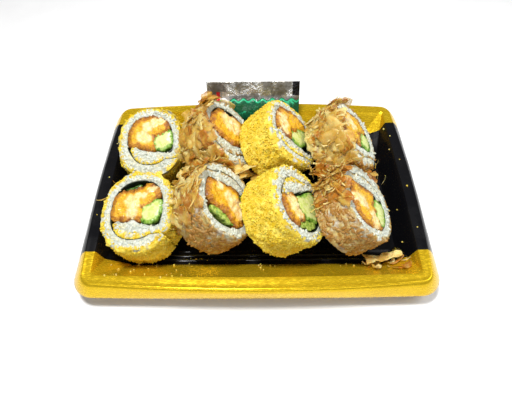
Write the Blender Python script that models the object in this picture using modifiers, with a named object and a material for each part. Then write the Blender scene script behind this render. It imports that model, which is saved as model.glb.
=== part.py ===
"""Takeaway tray of eight cut sushi rolls with a sauce sachet, in metres, Z up.

The origin is the middle of the tray on the table.  The long side of the tray
runs along X and its front faces -Y.  Sizes below are millimetres and degrees.
"""
import math
import random

import bmesh
import bpy
from mathutils import Matrix, Vector

MM = 0.001

# Tray: outlines from the skirt's edge over the rim and down to the floor.
# Each is half length, half width, corner size, rounded corner, bow of the
# short sides, bow of the long sides and height of the upper face.
TRAY_OUTLINES = (
    (107.0, 74.8, 13.0, True, 0.3, 1.1, 9.6),
    (104.3, 73.6, 11.0, True, 1.3, 2.6, 14.4),
    (101.0, 72.0, 8.5, True, 2.3, 4.0, 18.6),
    (99.6, 71.0, 7.0, True, 2.4, 4.3, 19.8),
    (98.0, 69.6, 6.0, True, 2.2, 4.0, 20.2),
    (94.0, 65.4, 1.2, False, 0.8, 1.9, 20.1),
    (93.3, 64.7, 1.8, False, 0.8, 1.8, 19.0),
    (91.2, 58.0, 7.0, False, 0.4, 0.8, 11.0),
    (89.3, 51.8, 12.0, False, 0.0, 0.0, 4.2),
    (88.0, 49.6, 12.0, False, 0.0, 0.0, 1.0),
)
TRAY_WALL = 1.0
LONG_SIDE_POINTS = 8
SHORT_SIDE_POINTS = 5
CORNER_POINTS = 4

# Food rests this far above the floor and this far clear of the walls.
FLOOR_REST = 1.35
WALL_CLEAR = 0.8

# One rolled sheet: rice outside, nori inside, wound a little over one turn.
RICE = 5.2
SEAM_TURN = 30.0
NORI = 0.7
GAP = 0.42
FILLING_GAP = 0.6
ROLL_POWER = 2.3
TURN_STATIONS = 22
EDGE_ROUND = 1.1
CRUMB_RELIEF = 0.45

# Rolls: middle and tilt of the cut face, half sizes, depth, then the angle at
# which the sheet starts, its overlap, the sense of winding, how thick the
# inner end is and how thick the outer turn is below it.
ROLLS = {
    "front_1": dict(face=(-70.8, -28.9, 31.0), tilt=13, lean=225, half=(22.3, 26.0),
                    depth=24.0, start=-150, lap=88, turn=1, tongue=11.0, under=6.4),
    "front_2": dict(face=(-17.0, -25.5, 36.5), tilt=46, lean=0, half=(22.5, 24.5),
                    depth=22.0, start=38, lap=85, turn=1, tongue=6.5, under=5.2),
    "front_3": dict(face=(26.1, -27.5, 36.0), tilt=45, lean=0, half=(23.0, 24.5),
                    depth=27.0, start=178, lap=105, turn=-1, tongue=9.5, under=7.2),
    "front_4": dict(face=(65.5, -26.3, 35.0), tilt=42, lean=0, half=(22.5, 24.5),
                    depth=22.0, start=25, lap=95, turn=1, tongue=7.0, under=5.6),
    "back_1": dict(face=(-69.9, 23.8, 33.0), tilt=24, lean=260, half=(21.6, 24.0),
                   depth=24.0, start=-165, lap=112, turn=1, tongue=8.6, under=7.4),
    "back_2": dict(face=(-17.5, 27.9, 38.0), tilt=46, lean=0, half=(22.5, 24.0),
                   depth=20.5, start=-150, lap=100, turn=1, tongue=7.0, under=5.4),
    "back_3": dict(face=(24.6, 26.9, 38.0), tilt=45, lean=0, half=(23.0, 24.0),
                   depth=27.0, start=-155, lap=95, turn=1, tongue=7.5, under=5.4),
    "back_4": dict(face=(65.5, 26.9, 36.5), tilt=44, lean=0, half=(22.0, 24.0),
                   depth=22.0, start=-145, lap=90, turn=1, tongue=6.5, under=5.4),
}

def strip(start, end, radius):
    """Lobes in a row, close enough to make one flat strip."""
    length = math.dist(start, end)
    count = math.ceil(length / radius)
    row = []
    for i in range(count + 1):
        share = i / count
        x = start[0] + (end[0] - start[0]) * share
        y = start[1] + (end[1] - start[1]) * share
        row.append((x, y, radius))
    return tuple(row)


# Fillings that show at each cut, as lobes of (x, y, radius) on the cut face.
# Each takes the part of the cavity that lies nearest to its lobes.
FILLINGS = {
    "front_1": (
        ("avocado", ((8, -2.5, 5.0), (14, 2.5, 4.8))),
        ("leaf", strip((-7.5, 13.2), (4.5, 15.8), 1.7)),
        ("chicken", ((-6, 6, 8), (-4.5, -3, 7), (4, 9, 7.5), (10.5, 12, 7.5))),
    ),
    "front_2": (
        ("avocado", ((12.8, 5, 3.8), (11, 8, 3.0))),
        ("leaf", strip((-9.5, -9.5), (5.5, -13.8), 1.8)),
        ("chicken", ((-9, 7, 7), (-5, 0, 7.5), (4, 3, 8), (9, -3, 7.5), (8, -8, 6))),
    ),
    "front_3": (
        ("avocado", ((0, -3, 5.2), (6, -2, 5.5), (11, -3, 5.5), (11, 4, 6))),
        ("leaf", ((0, -15, 3.0), (6, -13.5, 3.0), (11, -11, 2.6))),
        ("chicken", ((-12, -5, 7.5), (-9, -13, 7), (-5, -9, 6))),
    ),
    "front_4": (
        ("avocado", ((10, -2, 5), (11, -8.5, 4.5))),
        ("chicken", ((-13, -8, 7.5), (-5, -5, 7.5), (1, -3, 6), (-1, -13, 7), (-9, 2, 5))),
    ),
    "back_1": (
        ("avocado", ((7.5, 0.5, 5.0), (13.5, 4, 5.6))),
        ("chicken", ((-8.5, 3.5, 7), (-2.5, 1, 6), (-3, 9, 8), (7, 12, 7.5))),
    ),
    "back_2": (
        ("leaf", strip((-7, 13.6), (4, 14.8), 1.6)),
        ("chicken", ((-11, 1, 7.5), (-7, 6, 7.5), (2, 8, 8), (4, -1, 8), (9, 4, 7))),
    ),
    "back_3": (
        ("avocado", ((3, -3.5, 5.4), (8, 2, 5.5))),
        ("chicken", ((-12, -1, 8), (-7, 5, 7), (-11, -7, 6.5), (-1, 7, 6.5), (6, 10, 5))),
    ),
    "back_4": (
        ("avocado", ((9, 0.5, 4.8), (10, -4, 4))),
        ("chicken", ((-12, -2, 7.5), (-6, 5, 7.5), (1, 5, 7), (-3, -3, 6.5), (7, 9, 5))),
    ),
}
OUTLINE_POINTS = {"chicken": 30, "avocado": 14, "leaf": 20}
FILLING_RISE = {"chicken": 0.8, "avocado": 0.4, "leaf": 0.2}
CRUST_RELIEF = 0.06
FILLING_SPREAD = {"chicken": 4.0, "avocado": 1.0, "leaf": 0.4}
OUTLINE_STEP = 0.15

# Shavings on the rolls of the second and fourth column.  One on each back roll
# stands up higher than the rest: its number, lift and level on the roll.
SHAVED_ROLLS = {"front_2": 9, "front_4": 9, "back_2": 8, "back_4": 9}
SHAVING_LENGTH = 13.0
SHAVING_WIDTH = 9.0
SHAVING_WALL = 0.9
SHAVING_SECTOR = (112, 246)
SHAVING_LIFT = (1.4, 2.4)
HIGH_SHAVING = (4, 5.2, -3.2)
SHAVING_SEED = 11
WELD = 0.000002

# Loose shaving between the last front roll and the front wall.
LOOSE_MIDDLE = (76.0, -51.5, 10.4)
LOOSE_LENGTH = 21.0
LOOSE_WIDTH = 9.0

# Sachet standing behind the back row.
SACHET_WIDTH = 66.0
SACHET_FOOT = (-1.7, 52.7, 7.8)
SACHET_HEAD = (-1.7, 71.0, 44.0)
SACHET_FULLNESS = 5.0
SACHET_FILM = 0.8
SACHET_COLUMNS = 14
SACHET_ROWS = 9
SACHET_BAND = 9.5

COLOURS = {
    "tray_plastic": ((0.012, 0.012, 0.013), 0.22),
    "rice_crumbed": ((0.82, 0.62, 0.10), 0.75),
    "rice_shaved": ((0.56, 0.34, 0.16), 0.70),
    "nori": ((0.010, 0.018, 0.010), 0.45),
    "fried_chicken": ((0.72, 0.36, 0.07), 0.55),
    "avocado": ((0.50, 0.60, 0.18), 0.40),
    "leaf": ((0.10, 0.24, 0.05), 0.50),
    "shaving": ((0.62, 0.40, 0.20), 0.60),
    "sachet_film": ((0.45, 0.47, 0.45), 0.25),
}


def clear_scene():
    for obj in list(bpy.data.objects):
        bpy.data.objects.remove(obj, do_unlink=True)


def new_collection(name):
    made = bpy.data.collections.new(name)
    bpy.context.scene.collection.children.link(made)
    return made


def make_material(name):
    colour, roughness = COLOURS[name]
    mat = bpy.data.materials.new(name)
    mat.use_nodes = True
    shader = mat.node_tree.nodes["Principled BSDF"]
    shader.inputs["Base Color"].default_value = (*colour, 1.0)
    shader.inputs["Roughness"].default_value = roughness
    return mat


def add_object(name, bm, material, collection):
    bmesh.ops.recalc_face_normals(bm, faces=bm.faces)
    mesh = bpy.data.meshes.new(name)
    bm.to_mesh(mesh)
    bm.free()
    mesh.materials.append(material)
    obj = bpy.data.objects.new(name, mesh)
    collection.objects.link(obj)
    return obj


def smooth(value):
    value = max(0.0, min(1.0, value))
    return value * value * (3.0 - 2.0 * value)


def mix(first, second, share):
    return first + (second - first) * share


# Tray

def outline_ring(half_x, half_y, corner, rounded, bow_x, bow_y, height):
    """Points of one closed outline, anticlockwise from the front left."""
    sides = (
        (Vector((1, 0)), Vector((0, -1)), half_x, half_y, bow_y, LONG_SIDE_POINTS),
        (Vector((0, 1)), Vector((1, 0)), half_y, half_x, bow_x, SHORT_SIDE_POINTS),
        (Vector((-1, 0)), Vector((0, 1)), half_x, half_y, bow_y, LONG_SIDE_POINTS),
        (Vector((0, -1)), Vector((-1, 0)), half_y, half_x, bow_x, SHORT_SIDE_POINTS),
    )
    points = []
    for along, out, run, reach, bow, count in sides:
        for step in range(count):
            place = -1.0 + 2.0 * step / (count - 1)
            flat = along * place * (run - corner)
            points.append(flat + out * (reach + bow * (1.0 - place * place)))
        turn_middle = along * (run - corner) + out * (reach - corner)
        for step in range(1, CORNER_POINTS):
            share = step / CORNER_POINTS
            if rounded:
                angle = share * math.pi / 2
                arm = out * math.cos(angle) + along * math.sin(angle)
            else:
                arm = out.lerp(along, share)
            points.append(turn_middle + arm * corner)
    return [(p.x, p.y, height) for p in points]


def build_tray(material, collection):
    bm = bmesh.new()
    rings = []
    for outline in TRAY_OUTLINES:
        ring = [bm.verts.new(Vector(p) * MM) for p in outline_ring(*outline)]
        rings.append(ring)
    for outer, inner in zip(rings, rings[1:]):
        count = len(outer)
        for i in range(count):
            j = (i + 1) % count
            bm.faces.new((outer[i], outer[j], inner[j], inner[i]))
    bm.faces.new(rings[-1])
    tray = add_object("tray", bm, material, collection)
    wall = tray.modifiers.new("wall", "SOLIDIFY")
    wall.thickness = TRAY_WALL * MM
    wall.offset = -1.0
    wall.use_even_offset = True
    return tray


# Rolls

def tilt_matrix(roll):
    lean = math.radians(roll["lean"])
    tilt = math.radians(roll["tilt"])
    turn = Matrix.Rotation(lean, 3, "Z")
    return turn @ Matrix.Rotation(tilt, 3, "Y") @ turn.transposed()


def outside_radius(roll, angle):
    half_x, half_y = roll["half"]
    across = abs(math.cos(math.radians(angle))) / half_x
    up = abs(math.sin(math.radians(angle))) / half_y
    return (across ** ROLL_POWER + up ** ROLL_POWER) ** (-1.0 / ROLL_POWER)


def band_depths(roll, swept):
    """Depths below the outside of the sheet's outer and inner face."""
    lap = roll["lap"]
    step_in = roll["under"] + 2 * GAP + NORI
    if swept >= 360.0:
        rest = 1.0 - smooth((swept - 360.0 - lap) / SEAM_TURN)
        lower = mix(RICE, roll["under"], smooth((swept - 350.0) / 40.0))
        return 0.0, min(lower, step_in * rest - 2 * GAP - NORI)
    sunk = step_in * (1.0 - smooth((swept - lap) / SEAM_TURN))
    half = lap / 2
    if swept < half:
        body = mix(3.2, roll["tongue"], smooth(swept / half))
    else:
        body = mix(roll["tongue"], RICE, smooth((swept - half) / (half + 20.0)))
    if swept > 350.0:
        body = mix(RICE, roll["under"], smooth((swept - 350.0) / 40.0))
    return sunk, sunk + body


def band_end(roll):
    """Swept angle at which the outer end has thinned to a rounded lip."""
    swept = 360.0 + roll["lap"]
    while band_depths(roll, swept)[1] > 1.1:
        swept += 0.5
    return swept


def band_stations(roll):
    """Swept angles that meet again one turn later, then the end's own."""
    last = band_end(roll)
    step = 360.0 / TURN_STATIONS
    return [i * step for i in range(int(last / step - 0.4) + 1)] + [last]


def cavity_radius(roll, angle):
    """Free radius inside the innermost nori, seen at an angle."""
    free = 1e9
    for shift in (-8, -4, 0, 4, 8):
        swept = (roll["turn"] * (angle + shift - roll["start"])) % 360.0
        depth = band_depths(roll, swept)[1] + 2 * GAP + NORI + 0.1
        free = min(free, outside_radius(roll, angle + shift) - depth)
    return free


def tray_limit(height):
    """Half length and half width that are free at a height in the well."""
    inside = TRAY_OUTLINES[5:]
    if height >= inside[0][6]:
        return 1e9, 1e9
    for upper, lower in zip(inside, inside[1:]):
        if height >= lower[6]:
            share = (upper[6] - height) / (upper[6] - lower[6])
            free_x = mix(upper[0], lower[0], share) - WALL_CLEAR
            return free_x, mix(upper[1], lower[1], share) - WALL_CLEAR
    return inside[-1][0] - WALL_CLEAR, inside[-1][1] - WALL_CLEAR


def placing(roll):
    """Function that takes a point of the roll to its place in the tray."""
    tilt = tilt_matrix(roll)
    face = Vector(roll["face"])
    depth = roll["depth"]

    def rim(share):
        flats = []
        for angle in range(0, 360, 5):
            reach = outside_radius(roll, angle) + CRUMB_RELIEF
            turn = math.radians(angle)
            flats.append((math.cos(turn) * reach, math.sin(turn) * reach))
        return [face + tilt @ Vector((x, y, -depth * share)) for x, y in flats]

    drop = min(p.z for p in rim(1.0)) - FLOOR_REST - CRUMB_RELIEF
    middle = face - tilt @ Vector((0, 0, depth / 2))
    taper_x = taper_y = 0.0
    for share in (0.25, 0.5, 0.75, 1.0):
        for p in rim(share):
            free_x, free_y = tray_limit(p.z - drop * share)
            if abs(p.x) > free_x:
                kept = (free_x - abs(middle.x)) / (abs(p.x) - abs(middle.x))
                taper_x = max(taper_x, (1.0 - kept) / share)
            if abs(p.y) > free_y:
                kept = (free_y - abs(middle.y)) / (abs(p.y) - abs(middle.y))
                taper_y = max(taper_y, (1.0 - kept) / share)

    def place(x, y, z):
        p = face + tilt @ Vector((x, y, z))
        share = z / depth
        p.z += drop * share
        p.x = middle.x + (p.x - middle.x) * (1.0 + taper_x * share)
        p.y = middle.y + (p.y - middle.y) * (1.0 + taper_y * share)
        return p * MM

    return place


def build_band(name, roll, depths, levels, relief, rng):
    """Closed spiral strip between two depths, at some levels of the roll.

    Each level is its height on the roll and how far the outside draws in.
    """
    place = placing(roll)
    bm = bmesh.new()
    rows = []
    for height, draw_in in levels:
        row = []
        for swept, outer, inner in depths:
            angle = roll["start"] + roll["turn"] * swept
            edge = outside_radius(roll, angle)
            open_air = smooth((swept - roll["lap"] - 12.0) / 20.0)
            bump = rng.uniform(-0.5, 1.0) * relief * open_air
            shrink = draw_in * open_air - bump
            cosine = math.cos(math.radians(angle))
            sine = math.sin(math.radians(angle))
            pair = []
            for radius in (edge - outer - shrink, edge - inner):
                pair.append(bm.verts.new(place(radius * cosine, radius * sine, height)))
            row.append(pair)
        rows.append(row)
    for row, following in zip(rows, rows[1:]):
        for i in range(len(row) - 1):
            for side in (0, 1):
                bm.faces.new((row[i][side], row[i + 1][side],
                              following[i + 1][side], following[i][side]))
        for end in (0, -1):
            bm.faces.new((row[end][0], row[end][1], following[end][1], following[end][0]))
    for row in (rows[0], rows[-1]):
        for i in range(len(row) - 1):
            bm.faces.new((row[i][0], row[i + 1][0], row[i + 1][1], row[i][1]))
    return bm


def rice_sheet(name, roll, rng):
    depths = [(s, *band_depths(roll, s)) for s in band_stations(roll)]
    back = -roll["depth"]
    levels = ((back, EDGE_ROUND), (back + 1.6, 0.0), (back / 2, -0.3),
              (-1.6, 0.0), (0.0, EDGE_ROUND))
    return build_band(name, roll, depths, levels, CRUMB_RELIEF, rng)


def nori_sheet(name, roll, rng):
    depths = []
    for swept in band_stations(roll)[:-1]:
        inner = band_depths(roll, swept)[1]
        depths.append((swept, inner + GAP, inner + GAP + NORI))
    levels = ((-roll["depth"] + 0.5, 0.0), (-roll["depth"] / 2, 0.0), (-0.3, 0.0))
    return build_band(name, roll, depths, levels, 0.0, rng)


# Fillings

def lobe_field(point, lobes):
    """How deep a point lies in the nearest lobe, below zero outside."""
    return max(radius - (point - Vector((x, y))).length for x, y, radius in lobes)


def in_cavity(roll, point):
    seen = math.degrees(math.atan2(point.y, point.x))
    return point.length < cavity_radius(roll, seen) - 0.25


def segment_hit(origin, direction, start, end):
    """Distance along a ray to a segment, or none."""
    edge = end - start
    cross = direction.x * edge.y - direction.y * edge.x
    if abs(cross) < 1e-9:
        return None
    gap = start - origin
    along = (gap.x * edge.y - gap.y * edge.x) / cross
    share = (gap.x * direction.y - gap.y * direction.x) / cross
    if along > 0 and -0.02 <= share <= 1.02:
        return along
    return None


def corner_gap(corners, outline):
    """Least distance of some corners from the sides of an outline."""
    least = 1e9
    for start, end in zip(outline, outline[1:] + outline[:1]):
        edge = end - start
        for corner in corners:
            share = (corner - start).dot(edge) / edge.length_squared
            near = start + edge * max(0.0, min(1.0, share))
            least = min(least, (corner - near).length)
    return least


def outline_gap(first, second):
    """Distance between two outlines, or zero where their sides cross."""
    for start, end in zip(first, first[1:] + first[:1]):
        edge = end - start
        for other, following in zip(second, second[1:] + second[:1]):
            hit = segment_hit(start, edge.normalized(), other, following)
            if hit is not None and hit < edge.length:
                return 0.0
    return min(corner_gap(first, second), corner_gap(second, first))


def filling_outline(roll, kind, lobes, rivals, done, rng):
    """Outline of one filling, clear of the nori and of the other fillings."""

    def owned(point):
        field = lobe_field(point, lobes)
        if field < -FILLING_SPREAD[kind] or not in_cavity(roll, point):
            return False
        return all(field - FILLING_GAP > lobe_field(point, rival) for rival in rivals)

    weight = sum(radius for _, _, radius in lobes)
    origin = Vector((sum(x * r for x, _, r in lobes), sum(y * r for _, y, r in lobes)))
    origin /= weight
    if not owned(origin):
        origin = next(p for p in (Vector(lobe[:2]) for lobe in lobes) if owned(p))
    count = OUTLINE_POINTS[kind]
    points = []
    for i in range(count):
        angle = 2 * math.pi * i / count
        direction = Vector((math.cos(angle), math.sin(angle)))
        reach = OUTLINE_STEP
        while owned(origin + direction * (reach + OUTLINE_STEP)):
            reach += OUTLINE_STEP
        if kind == "chicken":
            reach *= 1.0 - rng.uniform(0, 1) * CRUST_RELIEF
        points.append(origin + direction * reach)
    while any(outline_gap(points, other) < FILLING_GAP - 0.15 for other in done):
        points = [origin.lerp(point, 0.98) for point in points]
    return points


def build_filling(roll, outline, rise):
    place = placing(roll)
    bm = bmesh.new()
    levels = (-roll["depth"] + 0.6, -0.6, rise - 0.5)
    shares = (1.0, 1.0, 0.93)
    middle = sum(outline, Vector((0, 0))) / len(outline)
    rows = []
    for level, share in zip(levels, shares):
        row = []
        for point in outline:
            at = middle.lerp(point, share)
            row.append(bm.verts.new(place(at.x, at.y, level)))
        rows.append(row)
    count = len(outline)
    for row, following in zip(rows, rows[1:]):
        for i in range(count):
            j = (i + 1) % count
            bm.faces.new((row[i], row[j], following[j], following[i]))
    bm.faces.new(rows[0])
    crown = bm.verts.new(place(middle.x, middle.y, rise))
    for i in range(count):
        bm.faces.new((rows[-1][i], rows[-1][(i + 1) % count], crown))
    return bm


# Shavings

def build_sheet(point_at, columns, rows, wall):
    """Thin wavy solid: two like faces, a wall apart, split alike."""
    bm = bmesh.new()
    layers = []
    for side in (0.0, -wall):
        layer = []
        for i in range(columns + 1):
            layer.append([bm.verts.new(point_at(i / columns, j / rows, side))
                          for j in range(rows + 1)])
        layers.append(layer)
    for layer in layers:
        for i in range(columns):
            for j in range(rows):
                a, b = layer[i][j], layer[i + 1][j]
                c, d = layer[i + 1][j + 1], layer[i][j + 1]
                bm.faces.new((a, b, c))
                bm.faces.new((a, c, d))
    edge = [(i, 0) for i in range(columns)]
    edge += [(columns, j) for j in range(rows)]
    edge += [(i, rows) for i in range(columns, 0, -1)]
    edge += [(0, j) for j in range(rows, 0, -1)]
    for (i, j), (k, m) in zip(edge, edge[1:] + edge[:1]):
        bm.faces.new((layers[0][i][j], layers[0][k][m], layers[1][k][m], layers[1][i][j]))
    return bm


def shaving_on_roll(roll, angle, height, turn, lift):
    """Shaving with one edge sunk in the roll's side and one edge lifted."""
    place = placing(roll)
    cosine, sine = math.cos(turn), math.sin(turn)

    def point_at(u, v, side):
        along = (u - 0.5) * SHAVING_LENGTH
        over = (v - 0.5) * SHAVING_WIDTH * (1.0 - 0.35 * u)
        round_way = along * cosine - over * sine
        down_way = along * sine + over * cosine
        here = angle + math.degrees(round_way / outside_radius(roll, angle))
        level = height + down_way
        wave = 0.5 * math.sin(5.0 * u + 4.0 * v + angle)
        radius = outside_radius(roll, here) - 0.9 + lift * u * u + wave + side
        x = radius * math.cos(math.radians(here))
        y = radius * math.sin(math.radians(here))
        return place(x, y, level)

    return build_sheet(point_at, 3, 2, SHAVING_WALL)


def fuse(base, collection, pieces):
    joined = base.modifiers.new("join", "BOOLEAN")
    joined.operation = "UNION"
    joined.operand_type = "COLLECTION"
    joined.collection = pieces
    joined.solver = "MANIFOLD"
    graph = bpy.context.evaluated_depsgraph_get()
    mesh = bpy.data.meshes.new_from_object(base.evaluated_get(graph))
    base.modifiers.clear()
    base.data = mesh
    for piece in list(pieces.objects):
        bpy.data.objects.remove(piece, do_unlink=True)
    drop_scrap(mesh)


def drop_scrap(mesh):
    """Keeps the largest connected piece of a joined mesh."""
    bm = bmesh.new()
    bm.from_mesh(mesh)
    bmesh.ops.remove_doubles(bm, verts=bm.verts, dist=WELD)
    left = set(bm.verts)
    islands = []
    while left:
        stack = [left.pop()]
        island = set(stack)
        while stack:
            for edge in stack.pop().link_edges:
                for vert in edge.verts:
                    if vert in left:
                        left.discard(vert)
                        island.add(vert)
                        stack.append(vert)
        islands.append(island)
    islands.sort(key=len)
    for island in islands[:-1]:
        bmesh.ops.delete(bm, geom=list(island), context="VERTS")
    bmesh.ops.triangulate(bm, faces=bm.faces)
    bmesh.ops.recalc_face_normals(bm, faces=bm.faces)
    bm.to_mesh(mesh)
    bm.free()


def add_shavings(name, roll, base, material, cutters):
    rng = random.Random(SHAVING_SEED + len(name) + ord(name[-1]) + ord(name[0]))
    count = SHAVED_ROLLS[name]
    pieces = bpy.data.collections.new("shavings_" + name)
    cutters.children.link(pieces)
    low, high = SHAVING_SECTOR
    for i in range(count):
        angle = mix(low, high, (i + 0.5) / count) + rng.uniform(-6, 6)
        share = (i * 0.618) % 1.0
        height = mix(-roll["depth"] + 8.5, -4.5, share)
        turn = rng.uniform(-0.6, 0.6) + math.pi * rng.randint(0, 1)
        lift = rng.uniform(*SHAVING_LIFT)
        if i == HIGH_SHAVING[0] and name.startswith("back"):
            lift, height = HIGH_SHAVING[1:]
        bm = shaving_on_roll(roll, angle, height, turn, lift)
        add_object(f"shaving_{name}_{i}", bm, material, pieces)
    fuse(base, cutters, pieces)
    bpy.data.collections.remove(pieces)


def build_loose_shaving(material, collection):
    middle = Vector(LOOSE_MIDDLE)

    def point_at(u, v, side):
        along = (u - 0.5) * LOOSE_LENGTH
        over = (v - 0.5) * LOOSE_WIDTH * (1.0 - 0.5 * u)
        rise = 0.9 * math.sin(6.0 * u + 2.0 * v) + 3.2 * u * u - 0.55 * over
        return (middle + Vector((along, over + 2.5 * u, rise + side))) * MM

    bm = build_sheet(point_at, 5, 3, SHAVING_WALL)
    return add_object("shaving_loose", bm, material, collection)


# Sachet

def build_sachet(material, collection):
    foot, head = Vector(SACHET_FOOT), Vector(SACHET_HEAD)
    up = (head - foot).normalized()
    out = Vector((1, 0, 0)).cross(up)
    height = (head - foot).length

    def fullness(u, v):
        from_ends = min(v, 1.0 - v) * height
        from_sides = min(u, 1.0 - u) * SACHET_WIDTH
        body = smooth((from_ends - SACHET_BAND) / 8.0 + 0.05)
        return body * smooth(from_sides / 9.0 + 0.1) * SACHET_FULLNESS / 2

    def point_at(u, v, side):
        face = 1.0 if side == 0.0 else -1.0
        ripple = 0.5 * math.sin(19.0 * u) * math.cos(3.0 * v + 1.0)
        bulge = ripple + face * (SACHET_FILM / 2 + fullness(u, v))
        along = (u - 0.5) * SACHET_WIDTH
        return (foot + Vector((along, 0, 0)) + up * (v * height) + out * bulge) * MM

    bm = build_sheet(point_at, SACHET_COLUMNS, SACHET_ROWS, SACHET_FILM)
    return add_object("sachet", bm, material, collection)


def main():
    clear_scene()
    parts = new_collection("sushi_tray")
    cutters = new_collection("cutters")
    cutters.hide_render = True
    materials = {name: make_material(name) for name in COLOURS}
    kinds = {"chicken": "fried_chicken", "avocado": "avocado", "leaf": "leaf"}
    build_tray(materials["tray_plastic"], parts)
    for order, (name, roll) in enumerate(ROLLS.items()):
        rng = random.Random(100 + order)
        shaved = name in SHAVED_ROLLS
        coat = materials["rice_shaved" if shaved else "rice_crumbed"]
        rice = add_object(name + "_rice", rice_sheet(name, roll, rng), coat, parts)
        if shaved:
            add_shavings(name, roll, rice, coat, cutters)
        add_object(name + "_nori", nori_sheet(name, roll, rng), materials["nori"], parts)
        outlines = []
        for kind, lobes in FILLINGS[name]:
            rivals = [other for rival, other in FILLINGS[name] if rival != kind]
            outline = filling_outline(roll, kind, lobes, rivals, outlines, rng)
            outlines.append(outline)
            bm = build_filling(roll, outline, FILLING_RISE[kind])
            add_object(f"{name}_{kind}", bm, materials[kinds[kind]], parts)
    build_loose_shaving(materials["shaving"], parts)
    build_sachet(materials["sachet_film"], parts)
    bpy.data.collections.remove(cutters)


main()
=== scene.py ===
import math
import random

import bmesh
import bpy
import numpy as np
from mathutils import Euler, Matrix, Vector, noise
from mathutils.bvhtree import BVHTree


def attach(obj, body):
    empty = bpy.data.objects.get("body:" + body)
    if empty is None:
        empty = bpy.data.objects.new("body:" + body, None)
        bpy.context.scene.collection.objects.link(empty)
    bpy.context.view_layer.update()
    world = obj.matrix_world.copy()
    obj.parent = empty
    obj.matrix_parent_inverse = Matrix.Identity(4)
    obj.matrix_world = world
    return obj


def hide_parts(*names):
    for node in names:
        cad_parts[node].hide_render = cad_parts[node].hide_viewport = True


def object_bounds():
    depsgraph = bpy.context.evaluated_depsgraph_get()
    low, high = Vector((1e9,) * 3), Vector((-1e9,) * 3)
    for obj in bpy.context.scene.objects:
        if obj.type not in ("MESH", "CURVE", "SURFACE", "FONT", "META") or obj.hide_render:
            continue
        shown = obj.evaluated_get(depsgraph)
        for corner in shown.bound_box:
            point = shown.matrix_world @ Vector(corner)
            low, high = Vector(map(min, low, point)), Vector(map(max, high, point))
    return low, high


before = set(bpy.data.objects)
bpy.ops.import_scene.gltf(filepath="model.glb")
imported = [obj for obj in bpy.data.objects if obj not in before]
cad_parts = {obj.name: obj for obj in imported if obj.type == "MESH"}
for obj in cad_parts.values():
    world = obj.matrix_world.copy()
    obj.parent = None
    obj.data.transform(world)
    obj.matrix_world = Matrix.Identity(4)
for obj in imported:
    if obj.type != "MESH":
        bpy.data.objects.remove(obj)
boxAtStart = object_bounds()

mm = 0.001  # pieces are modelled in millimetres and scaled when they are done

noise.seed_set(4)  # without it noise_vector gives other bumps at every run


def smooth(value):
    value = max(0.0, min(1.0, value))
    return value * value * (3.0 - 2.0 * value)


def mix(first, second, share):
    return first + (second - first) * share


# Shader helpers

def addNode(tree, kind, **values):
    node = tree.nodes.new(kind)
    for key, value in values.items():
        setattr(node, key, value)
    return node


def feed(tree, socket, source):
    if isinstance(source, bpy.types.NodeSocket):
        tree.links.new(source, socket)
    elif source is not None:
        socket.default_value = source


def mathNode(tree, operation, first, second=None):
    node = addNode(tree, "ShaderNodeMath", operation=operation)
    feed(tree, node.inputs[0], first)
    feed(tree, node.inputs[1], second)
    return node.outputs[0]


def remap(tree, value, low, high, toLow=0.0, toHigh=1.0):
    node = addNode(tree, "ShaderNodeMapRange", interpolation_type="SMOOTHSTEP")
    for socket, source in zip(node.inputs, (value, low, high, toLow, toHigh)):
        feed(tree, socket, source)
    return node.outputs[0]


def blend(tree, share, first, second, how="MIX"):
    node = addNode(tree, "ShaderNodeMix", data_type="RGBA", blend_type=how)
    feed(tree, node.inputs[0], share)
    feed(tree, node.inputs[6], first)
    feed(tree, node.inputs[7], second)
    return node.outputs[2]


def times(tree, first, second):
    return mathNode(tree, "MULTIPLY", first, second)


def plus(tree, first, second):
    return mathNode(tree, "ADD", first, second)


def tint(tree, base, mask, strength, over):
    # a share of the colour laid over the base where the mask is
    return blend(tree, times(tree, mask, strength), base, over)


def colour(red, green, blue):
    return (red, green, blue, 1.0)


def makeGroup(name, inputs, outputs):
    group = bpy.data.node_groups.new(name, "ShaderNodeTree")
    for label, kind, value in inputs:
        socket = group.interface.new_socket(name=label, in_out="INPUT", socket_type=kind)
        if value is not None:
            socket.default_value = value
    for label in outputs:
        group.interface.new_socket(name=label, in_out="OUTPUT", socket_type="NodeSocketFloat")
    given = addNode(group, "NodeGroupInput").outputs
    put = addNode(group, "NodeGroupOutput").inputs
    return group, given, put


def buildMottle():
    # soft cloudy patches of a given size in millimetres
    group, given, put = makeGroup(
        "mottle",
        (("Vector", "NodeSocketVector", None), ("Size", "NodeSocketFloat", 2.0),
         ("Low", "NodeSocketFloat", 0.35), ("High", "NodeSocketFloat", 0.65)),
        ("Mask", "Raw"))
    cloud = addNode(group, "ShaderNodeTexNoise")
    cloud.inputs["Detail"].default_value = 4.0
    cloud.inputs["Roughness"].default_value = 0.6
    feed(group, cloud.inputs["Vector"], given["Vector"])
    feed(group, cloud.inputs["Scale"], mathNode(group, "DIVIDE", 1000.0, given["Size"]))
    feed(group, put["Raw"], cloud.outputs["Fac"])
    feed(group, put["Mask"], remap(group, cloud.outputs["Fac"], given["Low"], given["High"]))
    return group


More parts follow.
